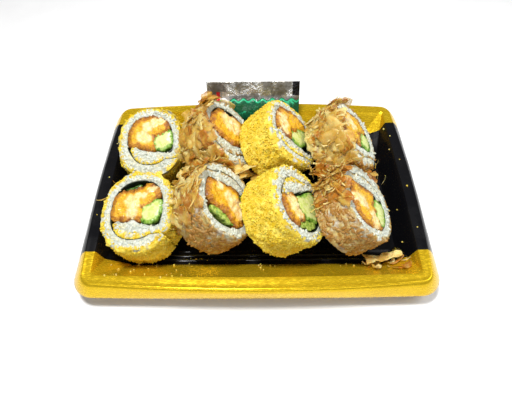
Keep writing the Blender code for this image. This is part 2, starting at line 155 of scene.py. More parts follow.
def buildSpecks():
    # a share of the cells of a given size holds a small dot
    group, given, put = makeGroup(
        "specks",
        (("Vector", "NodeSocketVector", None), ("Size", "NodeSocketFloat", 1.0),
         ("Reach", "NodeSocketFloat", 0.2), ("Share", "NodeSocketFloat", 0.5)),
        ("Mask", "Tone", "Cell"))
    cells = addNode(group, "ShaderNodeTexVoronoi")
    feed(group, cells.inputs["Vector"], given["Vector"])
    feed(group, cells.inputs["Scale"], mathNode(group, "DIVIDE", 1000.0, given["Size"]))
    near = remap(group, cells.outputs["Distance"], given["Reach"], 0.0)
    parts = addNode(group, "ShaderNodeSeparateColor")
    feed(group, parts.inputs[0], cells.outputs["Color"])
    chosen = mathNode(group, "LESS_THAN", parts.outputs[0], given["Share"])
    feed(group, put["Mask"], times(group, near, chosen))
    feed(group, put["Tone"], parts.outputs[1])
    feed(group, put["Cell"], cells.outputs["Distance"])
    return group


groups = {"mottle": buildMottle(), "specks": buildSpecks()}


def startFinish(name, roughness=0.5, **sockets):
    material = bpy.data.materials.new(name)
    material.use_nodes = True
    tree = material.node_tree
    shader = tree.nodes["Principled BSDF"]
    shader.inputs["Roughness"].default_value = roughness
    for key, value in sockets.items():
        shader.inputs[key.replace("_", " ")].default_value = value
    place = addNode(tree, "ShaderNodeTexCoord").outputs["Object"]
    return material, tree, shader, place


def useGroup(tree, name, place, **values):
    node = addNode(tree, "ShaderNodeGroup", node_tree=groups[name])
    feed(tree, node.inputs["Vector"], place)
    for key, value in values.items():
        feed(tree, node.inputs[key], value)
    return node.outputs


def cloudMask(tree, place, size, low=0.4, high=0.6):
    return useGroup(tree, "mottle", place, Size=size, Low=low, High=high)["Mask"]


def rawCloud(tree, place, size):
    return useGroup(tree, "mottle", place, Size=size)["Raw"]


def dotMask(tree, place, size, reach, share):
    return useGroup(tree, "specks", place, Size=size, Reach=reach, Share=share)["Mask"]


def soften(shader, *reach):
    # how far light travels inside, for red, green and blue in millimetres
    shader.inputs["Subsurface Radius"].default_value = [r * mm for r in reach]
    shader.inputs["Subsurface Scale"].default_value = 1.0


def addBump(tree, shader, height, strength, distance):
    bump = addNode(tree, "ShaderNodeBump")
    bump.inputs["Strength"].default_value = strength
    bump.inputs["Distance"].default_value = distance * mm
    feed(tree, bump.inputs["Height"], height)
    feed(tree, shader.inputs["Normal"], bump.outputs[0])


def dress(tree, shader, base, mask, smoothest, dullest, height, strength, distance):
    # colour, roughness between two values by a mask, and relief
    feed(tree, shader.inputs["Base Color"], base)
    feed(tree, shader.inputs["Roughness"], remap(tree, mask, 0.0, 1.0, smoothest, dullest))
    addBump(tree, shader, height, strength, distance)


def attribute(tree, name):
    return addNode(tree, "ShaderNodeAttribute", attribute_name=name).outputs["Fac"]


# Finishes

trayLook = {
    "goldFront": -50.6,  # gold in front of this line, in millimetres
    "goldBack": 53.6,
    "gold": colour(0.74, 0.47, 0.010),
    "paleGold": colour(0.84, 0.58, 0.025),
    "darkGold": colour(0.48, 0.27, 0.004),
    "black": colour(0.004, 0.004, 0.005),
    "metallic": 0.65,
}


def trayFinish():
    material, tree, shader, place = startFinish("trayPlastic", 0.2, Specular_IOR_Level=0.2)
    axes = addNode(tree, "ShaderNodeSeparateXYZ")
    feed(tree, axes.inputs[0], place)
    front = mathNode(tree, "LESS_THAN", axes.outputs[1], trayLook["goldFront"] * mm)
    back = mathNode(tree, "GREATER_THAN", axes.outputs[1], trayLook["goldBack"] * mm)
    gold = mathNode(tree, "MAXIMUM", front, back)
    turned = addNode(tree, "ShaderNodeMapping")
    turned.inputs["Rotation"].default_value = (0.0, 0.0, -0.5)
    turned.inputs["Scale"].default_value = (0.45, 1.7, 1.0)
    feed(tree, turned.inputs["Vector"], place)
    streak = cloudMask(tree, turned.outputs[0], 1.1, 0.35, 0.68)
    patch = cloudMask(tree, place, 16.0, 0.4, 0.7)
    fleck = useGroup(tree, "specks", turned.outputs[0], Size=0.7, Reach=0.45, Share=0.4)
    tone = tint(tree, trayLook["gold"], streak, 0.7, trayLook["paleGold"])
    tone = tint(tree, tone, patch, 0.2, trayLook["darkGold"])
    tone = tint(tree, tone, fleck["Mask"], 0.22, trayLook["darkGold"])
    feed(tree, shader.inputs["Base Color"], blend(tree, gold, trayLook["black"], tone))
    feed(tree, shader.inputs["Metallic"], times(tree, gold, trayLook["metallic"]))
    smear = cloudMask(tree, place, 14.0)
    goldRough = plus(tree, times(tree, streak, 0.1), 0.2)
    blackRough = plus(tree, times(tree, smear, 0.16), 0.14)
    rough = addNode(tree, "ShaderNodeMix", data_type="FLOAT")
    for socket, source in zip(rough.inputs, (gold, None, blackRough, goldRough)):
        feed(tree, socket, source)
    feed(tree, shader.inputs["Roughness"], rough.outputs[0])
    grain = times(tree, plus(tree, streak, fleck["Cell"]), gold)
    addBump(tree, shader, plus(tree, grain, times(tree, smear, 0.1)), 0.08, 0.04)
    return material


riceLook = {
    "white": colour(0.68, 0.70, 0.60),
    "cool": colour(0.48, 0.52, 0.45),
    # colour of the painted shade in the hollows between grains and lumps
    "pitShade": colour(0.20, 0.21, 0.16),
    "cream": colour(0.70, 0.58, 0.22),
    "yellow": colour(0.73, 0.49, 0.012),
    "paleYellow": colour(0.88, 0.73, 0.13),
    "deepYellow": colour(0.55, 0.34, 0.006),
    "sauce": colour(0.52, 0.33, 0.075),
    "glaze": colour(0.36, 0.15, 0.007),
    "darkGlaze": colour(0.20, 0.065, 0.005),
    "speck": colour(0.04, 0.028, 0.015),
}


def riceColour(tree, place):
    tone = blend(tree, cloudMask(tree, place, 3.2), riceLook["white"], riceLook["cool"])
    tone = tint(tree, tone, cloudMask(tree, place, 6.0, 0.5, 0.7), 0.5, riceLook["cream"])
    return tint(tree, tone, dotMask(tree, place, 2.6, 0.13, 0.34), 0.8, riceLook["speck"])


def riceFinish(name, glazed):
    material, tree, shader, place = startFinish(name, 0.42, Subsurface_Weight=0.15,
                                               Specular_IOR_Level=0.3 if glazed else 0.18)
    soften(shader, 0.9, 0.7, 0.45)
    rice = riceColour(tree, place)
    coat = attribute(tree, "coat")
    lumps = cloudMask(tree, place, 3.4, 0.3, 0.68)
    if glazed:
        wet = cloudMask(tree, place, 7.0, 0.28, 0.5)
        over = blend(tree, lumps, riceLook["cream"], riceLook["glaze"])
        over = blend(tree, cloudMask(tree, place, 4.0, 0.58, 0.72), over, riceLook["darkGlaze"])
        over = blend(tree, wet, rice, over)
    else:
        over = blend(tree, lumps, riceLook["yellow"], riceLook["paleYellow"])
        over = tint(tree, over, cloudMask(tree, place, 7.0, 0.5, 0.7), 0.45,
                    riceLook["deepYellow"])
    share = remap(tree, plus(tree, coat, times(tree, lumps, 0.3)), 0.2, 0.95)
    base = blend(tree, share, rice, over)
    # painted shade: the hollows between grains and lumps are darkened, grey on bare rice and deep
    # yellow or dark glaze on the coat
    pitShadeTone = riceLook["darkGlaze"] if glazed else riceLook["deepYellow"]
    pitShadeTone = blend(tree, share, riceLook["pitShade"], pitShadeTone)
    base = tint(tree, base, attribute(tree, "pitShade"), 0.5, pitShadeTone)
    cells = useGroup(tree, "specks", place, Size=2.4, Reach=0.5, Share=1.0)["Cell"]
    relief = mathNode(tree, "SUBTRACT", rawCloud(tree, place, 0.9), cells)
    dress(tree, shader, base, lumps, 0.45, 0.7, relief, 0.45, 0.4)
    return material


def grainFinish(name, glazed):
    material, tree, shader, place = startFinish(name, 0.3, Subsurface_Weight=0.15)
    soften(shader, 0.9, 0.7, 0.45)
    tone = attribute(tree, "tone")
    base = blend(tree, tone, riceLook["cool"], riceLook["white"])
    base = tint(tree, base, cloudMask(tree, place, 5.0, 0.48, 0.7), 0.45, riceLook["cream"])
    if glazed:
        base = blend(tree, 0.75, base, riceLook["sauce"])
        base = tint(tree, base, cloudMask(tree, place, 6.0, 0.25, 0.52), 0.85, riceLook["glaze"])
    base = tint(tree, base, dotMask(tree, place, 2.4, 0.12, 0.3), 0.7, riceLook["speck"])
    dress(tree, shader, base, tone, 0.26, 0.42, rawCloud(tree, place, 0.8), 0.35, 0.2)
    return material


def crumbFinish(name, dark, pale):
    material, tree, shader, place = startFinish(name, 0.8, Subsurface_Weight=0.35,
                                               Specular_IOR_Level=0.1)
    soften(shader, 0.8, 0.5, 0.15)
    tone = attribute(tree, "tone")
    mixed = plus(tree, tone, cloudMask(tree, place, 3.4, 0.3, 0.68))
    base = tint(tree, riceLook[dark], mixed, 0.5, riceLook[pale])
    base = tint(tree, base, cloudMask(tree, place, 7.0, 0.45, 0.6), 0.5, riceLook["deepYellow"])
    dress(tree, shader, base, tone, 0.9, 0.75, rawCloud(tree, place, 0.5), 0.5, 0.2)
    return material


noriLook = {
    "dark": colour(0.008, 0.014, 0.010),
    "green": colour(0.028, 0.042, 0.018),
}


def noriFinish():
    material, tree, shader, place = startFinish("noriSheet", 0.4)
    base = blend(tree, cloudMask(tree, place, 1.6), noriLook["dark"], noriLook["green"])
    patch = cloudMask(tree, place, 2.5)
    dress(tree, shader, base, patch, 0.3, 0.55, rawCloud(tree, place, 0.7), 0.6, 0.3)
    return material


chickenLook = {
    "crust": colour(0.46, 0.16, 0.005),
    "paleCrust": colour(0.66, 0.30, 0.008),
    "darkCrust": colour(0.17, 0.045, 0.003),
    "gold": colour(0.82, 0.50, 0.014),
    "meat": colour(0.88, 0.59, 0.18),
    "paleMeat": colour(0.93, 0.76, 0.42),
}


def chickenFinish():
    material, tree, shader, place = startFinish("friedChicken", 0.45, Subsurface_Weight=0.1)
    soften(shader, 1.0, 0.5, 0.25)
    lumps = cloudMask(tree, place, 2.4, 0.35, 0.65)
    fine = cloudMask(tree, place, 0.9, 0.4, 0.62)
    crust = blend(tree, lumps, chickenLook["crust"], chickenLook["paleCrust"])
    crust = tint(tree, crust, fine, 0.55, chickenLook["darkCrust"])
    inner = blend(tree, fine, chickenLook["gold"], chickenLook["paleCrust"])
    meat = blend(tree, lumps, chickenLook["meat"], chickenLook["paleMeat"])
    ragged = times(tree, mathNode(tree, "SUBTRACT", plus(tree, lumps, fine), 1.0), 0.16)
    deep = plus(tree, attribute(tree, "depth"), ragged)
    base = blend(tree, remap(tree, deep, 0.35, 0.75), crust, inner)
    core = plus(tree, attribute(tree, "core"), ragged)
    base = blend(tree, remap(tree, core, 0.2, 0.8), base, meat)
    base = blend(tree, remap(tree, deep, 0.22, -0.05), base, chickenLook["darkCrust"])
    feed(tree, shader.inputs["Coat Weight"], times(tree, fine, 0.25))
    dress(tree, shader, base, fine, 0.34, 0.55, plus(tree, fine, lumps), 0.5, 0.35)
    return material


avocadoLook = {
    "flesh": colour(0.56, 0.66, 0.17),
    "pale": colour(0.68, 0.72, 0.30),
    "edge": colour(0.20, 0.38, 0.035),
    "skin": colour(0.06, 0.15, 0.014),
}


def avocadoFinish():
    material, tree, shader, place = startFinish("avocadoFlesh", 0.3, Subsurface_Weight=0.1)
    soften(shader, 0.6, 0.8, 0.2)
    streak = cloudMask(tree, place, 2.8, 0.35, 0.65)
    base = blend(tree, streak, avocadoLook["flesh"], avocadoLook["pale"])
    ragged = times(tree, mathNode(tree, "SUBTRACT", streak, 0.5), 0.2)
    rim = plus(tree, attribute(tree, "depth"), ragged)
    base = blend(tree, remap(tree, rim, 0.5, 0.06), base, avocadoLook["edge"])
    base = blend(tree, remap(tree, rim, 0.12, -0.02), base, avocadoLook["skin"])
    dress(tree, shader, base, streak, 0.22, 0.4, rawCloud(tree, place, 1.4), 0.3, 0.3)
    return material


leafLook = {
    "dark": colour(0.018, 0.06, 0.006),
    "darkRib": colour(0.09, 0.19, 0.016),
    "light": colour(0.16, 0.30, 0.03),
    "lightRib": colour(0.42, 0.52, 0.10),
    "patch": colour(0.32, 0.42, 0.06),
}


def leafFinish():
    material, tree, shader, place = startFinish("greenLeaf", 0.35)
    ribs = cloudMask(tree, place, 1.6, 0.4, 0.6)
    base = blend(tree, ribs, leafLook["dark"], leafLook["darkRib"])
    light = blend(tree, ribs, leafLook["light"], leafLook["lightRib"])
    base = blend(tree, attribute(tree, "core"), base, light)
    base = blend(tree, cloudMask(tree, place, 3.0, 0.54, 0.7), base, leafLook["patch"])
    dress(tree, shader, base, ribs, 0.25, 0.45, ribs, 0.5, 0.3)
    return material


shavingLook = {
    "pale": colour(1.0, 0.80, 0.30),
    "tan": colour(0.86, 0.52, 0.075),
    "brown": colour(0.46, 0.16, 0.010),
    "seeThrough": 0.42,  # least and most of the alpha
    "closed": 0.97,
}


def shavingFinish():
    material, tree, shader, place = startFinish("fishShaving", 0.4, Subsurface_Weight=0.3)
    soften(shader, 1.2, 0.7, 0.3)
    tone = attribute(tree, "tone")
    base = blend(tree, remap(tree, tone, 0.1, 0.6), shavingLook["pale"], shavingLook["tan"])
    base = blend(tree, remap(tree, tone, 0.55, 1.0), base, shavingLook["brown"])
    streak = cloudMask(tree, place, 1.8, 0.4, 0.65)
    base = tint(tree, base, streak, 0.22, shavingLook["brown"])
    base = tint(tree, base, cloudMask(tree, place, 6.0, 0.5, 0.7), 0.4, shavingLook["pale"])
    offMiddle = mathNode(tree, "ABSOLUTE", mathNode(tree, "SUBTRACT", tone, 0.5))
    solid = plus(tree, times(tree, streak, 0.3), offMiddle)
    feed(tree, shader.inputs["Alpha"],
         remap(tree, solid, 0.0, 1.0, shavingLook["seeThrough"], shavingLook["closed"]))
    dress(tree, shader, base, streak, 0.32, 0.5, streak, 0.35, 0.25)
    return material


filmLook = {
    "silver": colour(0.50, 0.50, 0.48),
    "darkSilver": colour(0.16, 0.15, 0.13),
    "green": colour(0.006, 0.10, 0.042),
    "brightGreen": colour(0.03, 0.46, 0.22),
    "dark": colour(0.012, 0.012, 0.014),
    "white": colour(0.85, 0.85, 0.83),
    "red": colour(0.66, 0.03, 0.035),
}


# plain fields on the sachet: colour, left, right, low and high, as shares of its face
filmFields = (
    ("white", 0.16, 0.24, 0.6, 0.82),
    ("red", 0.10, 0.14, 0.6, 0.82),
    ("dark", 0.925, 1.01, 0.76, 1.01),
)


def filmFinish():
    # fields of colour laid out across (u) and up (v) the sachet
    material, tree, shader, place = startFinish("sachetFilm", 0.22)
    axes = addNode(tree, "ShaderNodeSeparateXYZ")
    feed(tree, axes.inputs[0], addNode(tree, "ShaderNodeUVMap", uv_map="film").outputs[0])
    across, up = axes.outputs[0], axes.outputs[1]

    def between(value, low, high):
        return times(tree, mathNode(tree, "GREATER_THAN", value, low),
                     mathNode(tree, "LESS_THAN", value, high))

    wave = times(tree, mathNode(tree, "SINE", times(tree, across, 60.0)), 0.022)
    height = plus(tree, up, wave)
    # painted shade: cloudy patches of darker silver stand for shade in the foil's creases; the
    # same mask also sets the roughness
    crease = cloudMask(tree, place, 8.0, 0.38, 0.6)
    base = blend(tree, crease, filmLook["silver"], filmLook["darkSilver"])
    printed = mathNode(tree, "LESS_THAN", height, 0.70)
    base = blend(tree, printed, base, filmLook["green"])
    base = blend(tree, between(height, 0.655, 0.685), base, filmLook["brightGreen"])
    glint = cloudMask(tree, place, 4.0, 0.60, 0.66)
    base = tint(tree, base, glint, printed, filmLook["brightGreen"])
    for field, left, right, low, high in filmFields:
        base = tint(tree, base, between(across, left, right), between(up, low, high),
                    filmLook[field])
    foil = mathNode(tree, "SUBTRACT", 1.0, printed)
    feed(tree, shader.inputs["Metallic"], times(tree, foil, 0.8))
    dress(tree, shader, base, crease, 0.16, 0.32, rawCloud(tree, place, 5.0), 0.6, 1.2)
    return material


def plainFloor():
    material, tree, shader, place = startFinish("paleFloor", 0.6)
    shade = blend(tree, cloudMask(tree, place, 90.0), colour(0.90, 0.90, 0.90),
                  colour(0.93, 0.93, 0.93))
    feed(tree, shader.inputs["Base Color"], shade)
    return material


finishes = {
    "tray": trayFinish(),
    "crumbedRice": riceFinish("crumbedRice", False),
    "shavedRice": riceFinish("glazedRice", True),
    "grain": grainFinish("riceGrain", False),
    "glazedGrain": grainFinish("glazedGrain", True),
    "crumb": crumbFinish("friedCrumb", "yellow", "paleYellow"),
    "looseCrumb": crumbFinish("looseCrumb", "cream", "paleYellow"),
    "nori": noriFinish(),
    "chicken": chickenFinish(),
    "avocado": avocadoFinish(),
    "leaf": leafFinish(),
    "shaving": shavingFinish(),
    "film": filmFinish(),
}
print("finishes made")


def takeMesh(name, bm):
    mesh = bpy.data.meshes.new(name)
    bm.to_mesh(mesh)
    bm.free()
    return mesh


def linked(name, data):
    made = bpy.data.objects.new(name, data)
    bpy.context.scene.collection.objects.link(made)
    return made


def addPiece(name, bm, finish, slotName, *nodes):
    bmesh.ops.scale(bm, vec=(mm, mm, mm), verts=bm.verts)
    mesh = takeMesh(name, bm)
    mesh.shade_smooth()
    mesh.materials.append(finishes[finish])
    piece = linked(name, mesh)
    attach(piece, "root")
    if nodes:
        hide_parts(*nodes)
    return piece


# Tray

tray = {
    # half length, half width, corner, rounded corner, bow of the short sides,
    # bow of the long sides, height of the upper face
    "outlines": (
        (107.0, 74.8, 13.0, True, 0.3, 1.1, 9.6),
        (104.3, 73.5, 11.0, True, 1.3, 2.6, 14.4),
        (101.0, 72.0, 8.5, True, 2.3, 4.0, 18.6),
        (99.6, 71.0, 7.0, True, 2.4, 4.3, 19.8),
        (98.0, 69.6, 6.0, True, 2.2, 4.0, 20.2),
        (94.0, 65.4, 1.2, False, 0.8, 1.9, 20.1),
        (93.3, 64.7, 1.8, False, 0.8, 1.8, 19.0),
        (91.2, 58.0, 7.0, False, 0.4, 0.8, 11.0),
        (89.3, 51.8, 12.0, False, 0.0, 0.0, 4.2),
        (88.0, 49.6, 12.0, False, 0.0, 0.0, 1.0),
    ),
    "between": (2, 2, 2, 6, 3, 1, 3, 3, 2),  # rings from each outline to the next
    "bead": 0.35,  # height of the rounded ridge along the rim's outer edge
    "beadAfter": 3,  # it lies between this outline, counted from 0, and the next
    "wall": 1.0,
    "longPoints": 100,
    "shortPoints": 70,
    "cornerPoints": 12,
    "serration": 0.32,
    "ribs": (-46.5, -43.5, -40.5, 40.5, 43.5, 46.5),
    "ribHeight": 0.45,
    "ribHalfWidth": 1.0,
    "ribEnd": 83.0,
    "floor": 1.0,  # height of the floor's upper face
    "softEdge": 0.25,
    "softAngle": 32.0,
}


def outlineRing(halfX, halfY, corner, rounded, bowX, bowY, height):
    sides = (
        (Vector((1, 0)), Vector((0, -1)), halfX, halfY, bowY, tray["longPoints"]),
        (Vector((0, 1)), Vector((1, 0)), halfY, halfX, bowX, tray["shortPoints"]),
        (Vector((-1, 0)), Vector((0, 1)), halfX, halfY, bowY, tray["longPoints"]),
        (Vector((0, -1)), Vector((-1, 0)), halfY, halfX, bowX, tray["shortPoints"]),
    )
    points = []
    for along, out, run, reach, bow, count in sides:
        for step in range(count):
            place = -1.0 + 2.0 * step / (count - 1)
            flat = along * place * (run - corner)
            points.append(flat + out * (reach + bow * (1.0 - place * place)))
        middle = along * (run - corner) + out * (reach - corner)
        for step in range(1, tray["cornerPoints"]):
            share = step / tray["cornerPoints"]
            if rounded:
                angle = share * math.pi / 2
                arm = out * math.cos(angle) + along * math.sin(angle)
            else:
                arm = out.lerp(along, share)
            points.append(middle + arm * corner)
    return [Vector((p.x, p.y, height)) for p in points]


def trayRings():
    rings = [outlineRing(*outline) for outline in tray["outlines"]]
    placed = []
    for k, count in enumerate(tray["between"]):
        for step in range(count):
            share = step / count
            raised = tray["bead"] * math.sin(math.pi * share) if k == tray["beadAfter"] else 0.0
            placed.append([a.lerp(b, share) + Vector((0, 0, raised))
                           for a, b in zip(rings[k], rings[k + 1])])
    placed.append(rings[-1])
    placed[0] = [p + Vector((0, 0, tray["serration"] * (i % 2))) for i, p in enumerate(placed[0])]
    return placed


def raiseRibs(bm):
    # the floor is cut across along each rib's sides and middle, and the middle lifted
    floor = max(bm.faces, key=lambda face: len(face.verts))
    cut = [floor, *floor.edges, *floor.verts]
    half, end = tray["ribHalfWidth"], tray["ribEnd"]
    lines = [((0, y, 0), (0, 1, 0)) for middle in tray["ribs"]
             for y in (middle - half, middle, middle + half)]
    lines += [((x, 0, 0), (1, 0, 0)) for x in (-end, end)]
    for place, across in lines:
        cut = bmesh.ops.bisect_plane(bm, geom=cut, dist=0.001, plane_co=place,
                                     plane_no=across)["geom"]
    for vert in bm.verts:
        onRib = any(abs(vert.co.y - middle) < 0.05 for middle in tray["ribs"])
        if onRib and abs(vert.co.x) < end + 0.5 and vert.co.z < tray["floor"] + 0.01:
            vert.co.z += tray["ribHeight"]


def makeTray():
    rings = trayRings()
    bm = bmesh.new()
    made = bmesh.ops.create_circle(bm, segments=len(rings[0]), radius=1.0)
    loop = made["verts"]
    for vert, point in zip(loop, rings[0]):
        vert.co = point
    edges = list(bm.edges)
    for ring in rings[1:]:
        out = bmesh.ops.extrude_edge_only(bm, edges=edges)["geom"]
        edges = [g for g in out if isinstance(g, bmesh.types.BMEdge)]
        loop = [g for g in out if isinstance(g, bmesh.types.BMVert)]
        for vert, point in zip(loop, ring):
            vert.co = point
    bmesh.ops.contextual_create(bm, geom=edges)
    raiseRibs(bm)
    bmesh.ops.recalc_face_normals(bm, faces=bm.faces)
    onFloor = [f for f in bm.faces if abs(f.calc_center_median().z - tray["floor"]) < 0.1]
    if sum(face.normal.z for face in onFloor) < 0:
        bmesh.ops.reverse_faces(bm, faces=bm.faces)
    ground = BVHTree.FromBMesh(bm)
    piece = addPiece("sushiTray", bm, "tray", "tray_plastic", "tray")
    wall = piece.modifiers.new("wall", "SOLIDIFY")
    wall.thickness = tray["wall"] * mm
    wall.offset = -1.0
    soft = piece.modifiers.new("softEdge", "BEVEL")
    soft.width = tray["softEdge"] * mm
    soft.segments = 2
    soft.limit_method = "ANGLE"
    soft.angle_limit = math.radians(tray["softAngle"])
    print("tray made")
    return ground


# Rolls

sheet = {
    "rice": 5.2,
    "seamTurn": 30.0,
    "nori": 0.7,
    "gap": 0.42,
    "power": 2.3,
    "edgeRound": 1.1,
    "relief": 0.45,
    "floorRest": 1.35,
    "wallClear": 0.8,
    "cell": 1.07,  # size of the mesh's cells
    "across": 8,
    "fill": 0.8,  # the rice reaches this much closer to the nori
    "belly": 0.3,
    "lip": 3.2,  # thickness at the sheet's inner end
    "cutBump": 0.55,  # how far grains and lumps stand out, on the cut and on the walls
    "cutEdgeBump": 0.3,
    "crumbedBump": 0.85,
    "shavedBump": 0.7,
}

rolls = {
    "front_1": dict(face=(-70.8, -28.9, 31.0), tilt=13, lean=225, half=(22.3, 26.0),
                    depth=24.0, start=-150, lap=88, turn=1, tongue=11.0, under=6.4),
    "front_2": dict(face=(-17.0, -25.5, 36.5), tilt=46, lean=0, half=(22.5, 24.5),
                    depth=22.0, start=38, lap=85, turn=1, tongue=6.5, under=5.2),
    "front_3": dict(face=(26.1, -27.5, 36.0), tilt=45, lean=0, half=(23.0, 24.5),
                    depth=27.0, start=178, lap=105, turn=-1, tongue=9.5, under=7.2),
    "front_4": dict(face=(65.5, -26.3, 35.0), tilt=42, lean=0, half=(22.5, 24.5),
                    depth=22.0, start=25, lap=95, turn=1, tongue=7.0, under=5.6),
    "back_1": dict(face=(-69.9, 23.8, 33.0), tilt=24, lean=260, half=(21.6, 24.0),
                   depth=24.0, start=-165, lap=112, turn=1, tongue=8.6, under=7.4),
    "back_2": dict(face=(-17.5, 27.9, 38.0), tilt=46, lean=0, half=(22.5, 24.0),
                   depth=20.5, start=-150, lap=100, turn=1, tongue=7.0, under=5.4),
    "back_3": dict(face=(24.6, 26.9, 38.0), tilt=45, lean=0, half=(23.0, 24.0),
                   depth=27.0, start=-155, lap=95, turn=1, tongue=7.5, under=5.4),
    "back_4": dict(face=(65.5, 26.9, 36.5), tilt=44, lean=0, half=(22.0, 24.0),
                   depth=22.0, start=-145, lap=90, turn=1, tongue=6.5, under=5.4),
}
shavedRolls = ("front_2", "front_4", "back_2", "back_4")


def riceSlot(name):
    return "rice_shaved" if name in shavedRolls else "rice_crumbed"


def tiltMatrix(roll):
    turn = Matrix.Rotation(math.radians(roll["lean"]), 3, "Z")
    return turn @ Matrix.Rotation(math.radians(roll["tilt"]), 3, "Y") @ turn.transposed()


def outsideRadius(roll, angle):
    halfX, halfY = roll["half"]
    across = abs(math.cos(math.radians(angle))) / halfX
    up = abs(math.sin(math.radians(angle))) / halfY
    return (across ** sheet["power"] + up ** sheet["power"]) ** (-1.0 / sheet["power"])


def bandDepths(roll, swept):
    # depths below the outside of the sheet's outer and inner face
    lap, under = roll["lap"], roll["under"]
    wrapped = 2 * sheet["gap"] + sheet["nori"]
    stepIn = under + wrapped
    if swept >= 360.0:
        rest = 1.0 - smooth((swept - 360.0 - lap) / sheet["seamTurn"])
        lower = mix(sheet["rice"], under, smooth((swept - 350.0) / 40.0))
        return 0.0, min(lower, stepIn * rest - wrapped)
    sunk = stepIn * (1.0 - smooth((swept - lap) / sheet["seamTurn"]))
    half = lap / 2
    if swept < half:
        body = mix(sheet["lip"], roll["tongue"], smooth(swept / half))
    else:
        body = mix(roll["tongue"], sheet["rice"], smooth((swept - half) / (half + 20.0)))
    if swept > 350.0:
        body = mix(sheet["rice"], under, smooth((swept - 350.0) / 40.0))
    return sunk, sunk + body


def bandEnd(roll):
    swept = 360.0 + roll["lap"]
    while bandDepths(roll, swept)[1] > 1.1:
        swept += 0.5
    return swept


def trayLimit(height):
    inside = tray["outlines"][5:]
    clear = sheet["wallClear"]
    if height >= inside[0][6]:
        return 1e9, 1e9
    for upper, lower in zip(inside, inside[1:]):
        if height >= lower[6]:
            share = (upper[6] - height) / (upper[6] - lower[6])
            return mix(upper[0], lower[0], share) - clear, mix(upper[1], lower[1], share) - clear
    return inside[-1][0] - clear, inside[-1][1] - clear


def placing(roll):
    # function that takes a point of the roll to its place in the tray
    tilt = tiltMatrix(roll)
    face = Vector(roll["face"])
    depth = roll["depth"]

    def rim(share):
        flats = []
        for angle in range(0, 360, 5):
            reach = outsideRadius(roll, angle) + sheet["relief"]
            turn = math.radians(angle)
            flats.append(Vector((math.cos(turn) * reach, math.sin(turn) * reach, -depth * share)))
        return [face + tilt @ p for p in flats]

    drop = min(p.z for p in rim(1.0)) - sheet["floorRest"] - sheet["relief"]
    middle = face - tilt @ Vector((0, 0, depth / 2))
    taperX = taperY = 0.0
    for share in (0.25, 0.5, 0.75, 1.0):
        for p in rim(share):
            freeX, freeY = trayLimit(p.z - drop * share)
            if abs(p.x) > freeX:
                kept = (freeX - abs(middle.x)) / (abs(p.x) - abs(middle.x))
                taperX = max(taperX, (1.0 - kept) / share)
            if abs(p.y) > freeY:
                kept = (freeY - abs(middle.y)) / (abs(p.y) - abs(middle.y))
                taperY = max(taperY, (1.0 - kept) / share)

    def place(x, y, z):
        p = face + tilt @ Vector((x, y, z))
        share = z / depth
        p.z += drop * share
        p.x = middle.x + (p.x - middle.x) * (1.0 + taperX * share)
        p.y = middle.y + (p.y - middle.y) * (1.0 + taperY * share)
        return p

    return place


def sheetPoint(roll, swept, share, level):
    # place on the rice: share 0 is its outer face and 1 its inner face
    angle = math.radians(roll["start"] + roll["turn"] * swept)
    edge = outsideRadius(roll, math.degrees(angle))
    outer, inner = bandDepths(roll, swept)
    openAir = smooth((swept - roll["lap"] - 12.0) / 20.0)
    depth = -level
    top = max(0.0, 1.0 - depth / 1.8)
    foot = max(0.0, 1.0 - (roll["depth"] - depth) / 1.8)
    rounding = sheet["edgeRound"] * (1.0 - math.sqrt(1.0 - max(top, foot) ** 2))
    belly = sheet["belly"] * math.sin(math.pi * min(1.0, depth / roll["depth"]))
    outside = edge - outer - (rounding - belly) * openAir
    inside = edge - inner - sheet["fill"]
    radius = mix(outside, inside, share)
    return radius * math.cos(angle), radius * math.sin(angle)


def riceLevels(depth):
    levels = [0.0, -0.2, -0.5, -0.9, -1.4, -2.0]
    count = int((depth - 4.0) / (sheet["cell"] * 1.15))
    levels += [-2.0 - (depth - 4.0) * (i + 1) / count for i in range(count)]
    levels += [-depth + v for v in (1.4, 0.9, 0.5, 0.2, 0.0)]
    return levels


def cellBump(point, size):
    # rounded bumps, one to a cell, between 0 and 1
    near, second = noise.voronoi(point / size)[0][:2]
    return min(1.0, (second - near) * 1.6)


def roughenRice(bm, free, pitShade, seed, shaved):
    # lumps of crumb on a coated wall, single grains everywhere else
    bm.normal_update()
    moves = {}
    for vert, amount in free.items():
        p = vert.co + seed
        if amount > 0.6 and not shaved:
            bump = cellBump(p + 1.2 * noise.noise_vector(p / 2.5), 3.0)
            lift = 1.6 * noise.noise(p / 4.6) + 0.8 * (bump - 0.5)
        else:
            bump = cellBump(p + 0.6 * noise.noise_vector(p / 2.0), 2.3)
            lift = 0.5 * noise.noise(p / 5.0) + 0.9 * (bump - 0.6)
        # painted shade: how deep the point lies between bumps, darkened by the rice finish
        vert[pitShade] = smooth(1.0 - bump * 2.2)
        moves[vert] = vert.normal * lift * amount
    for vert, move in moves.items():
        vert.co += move


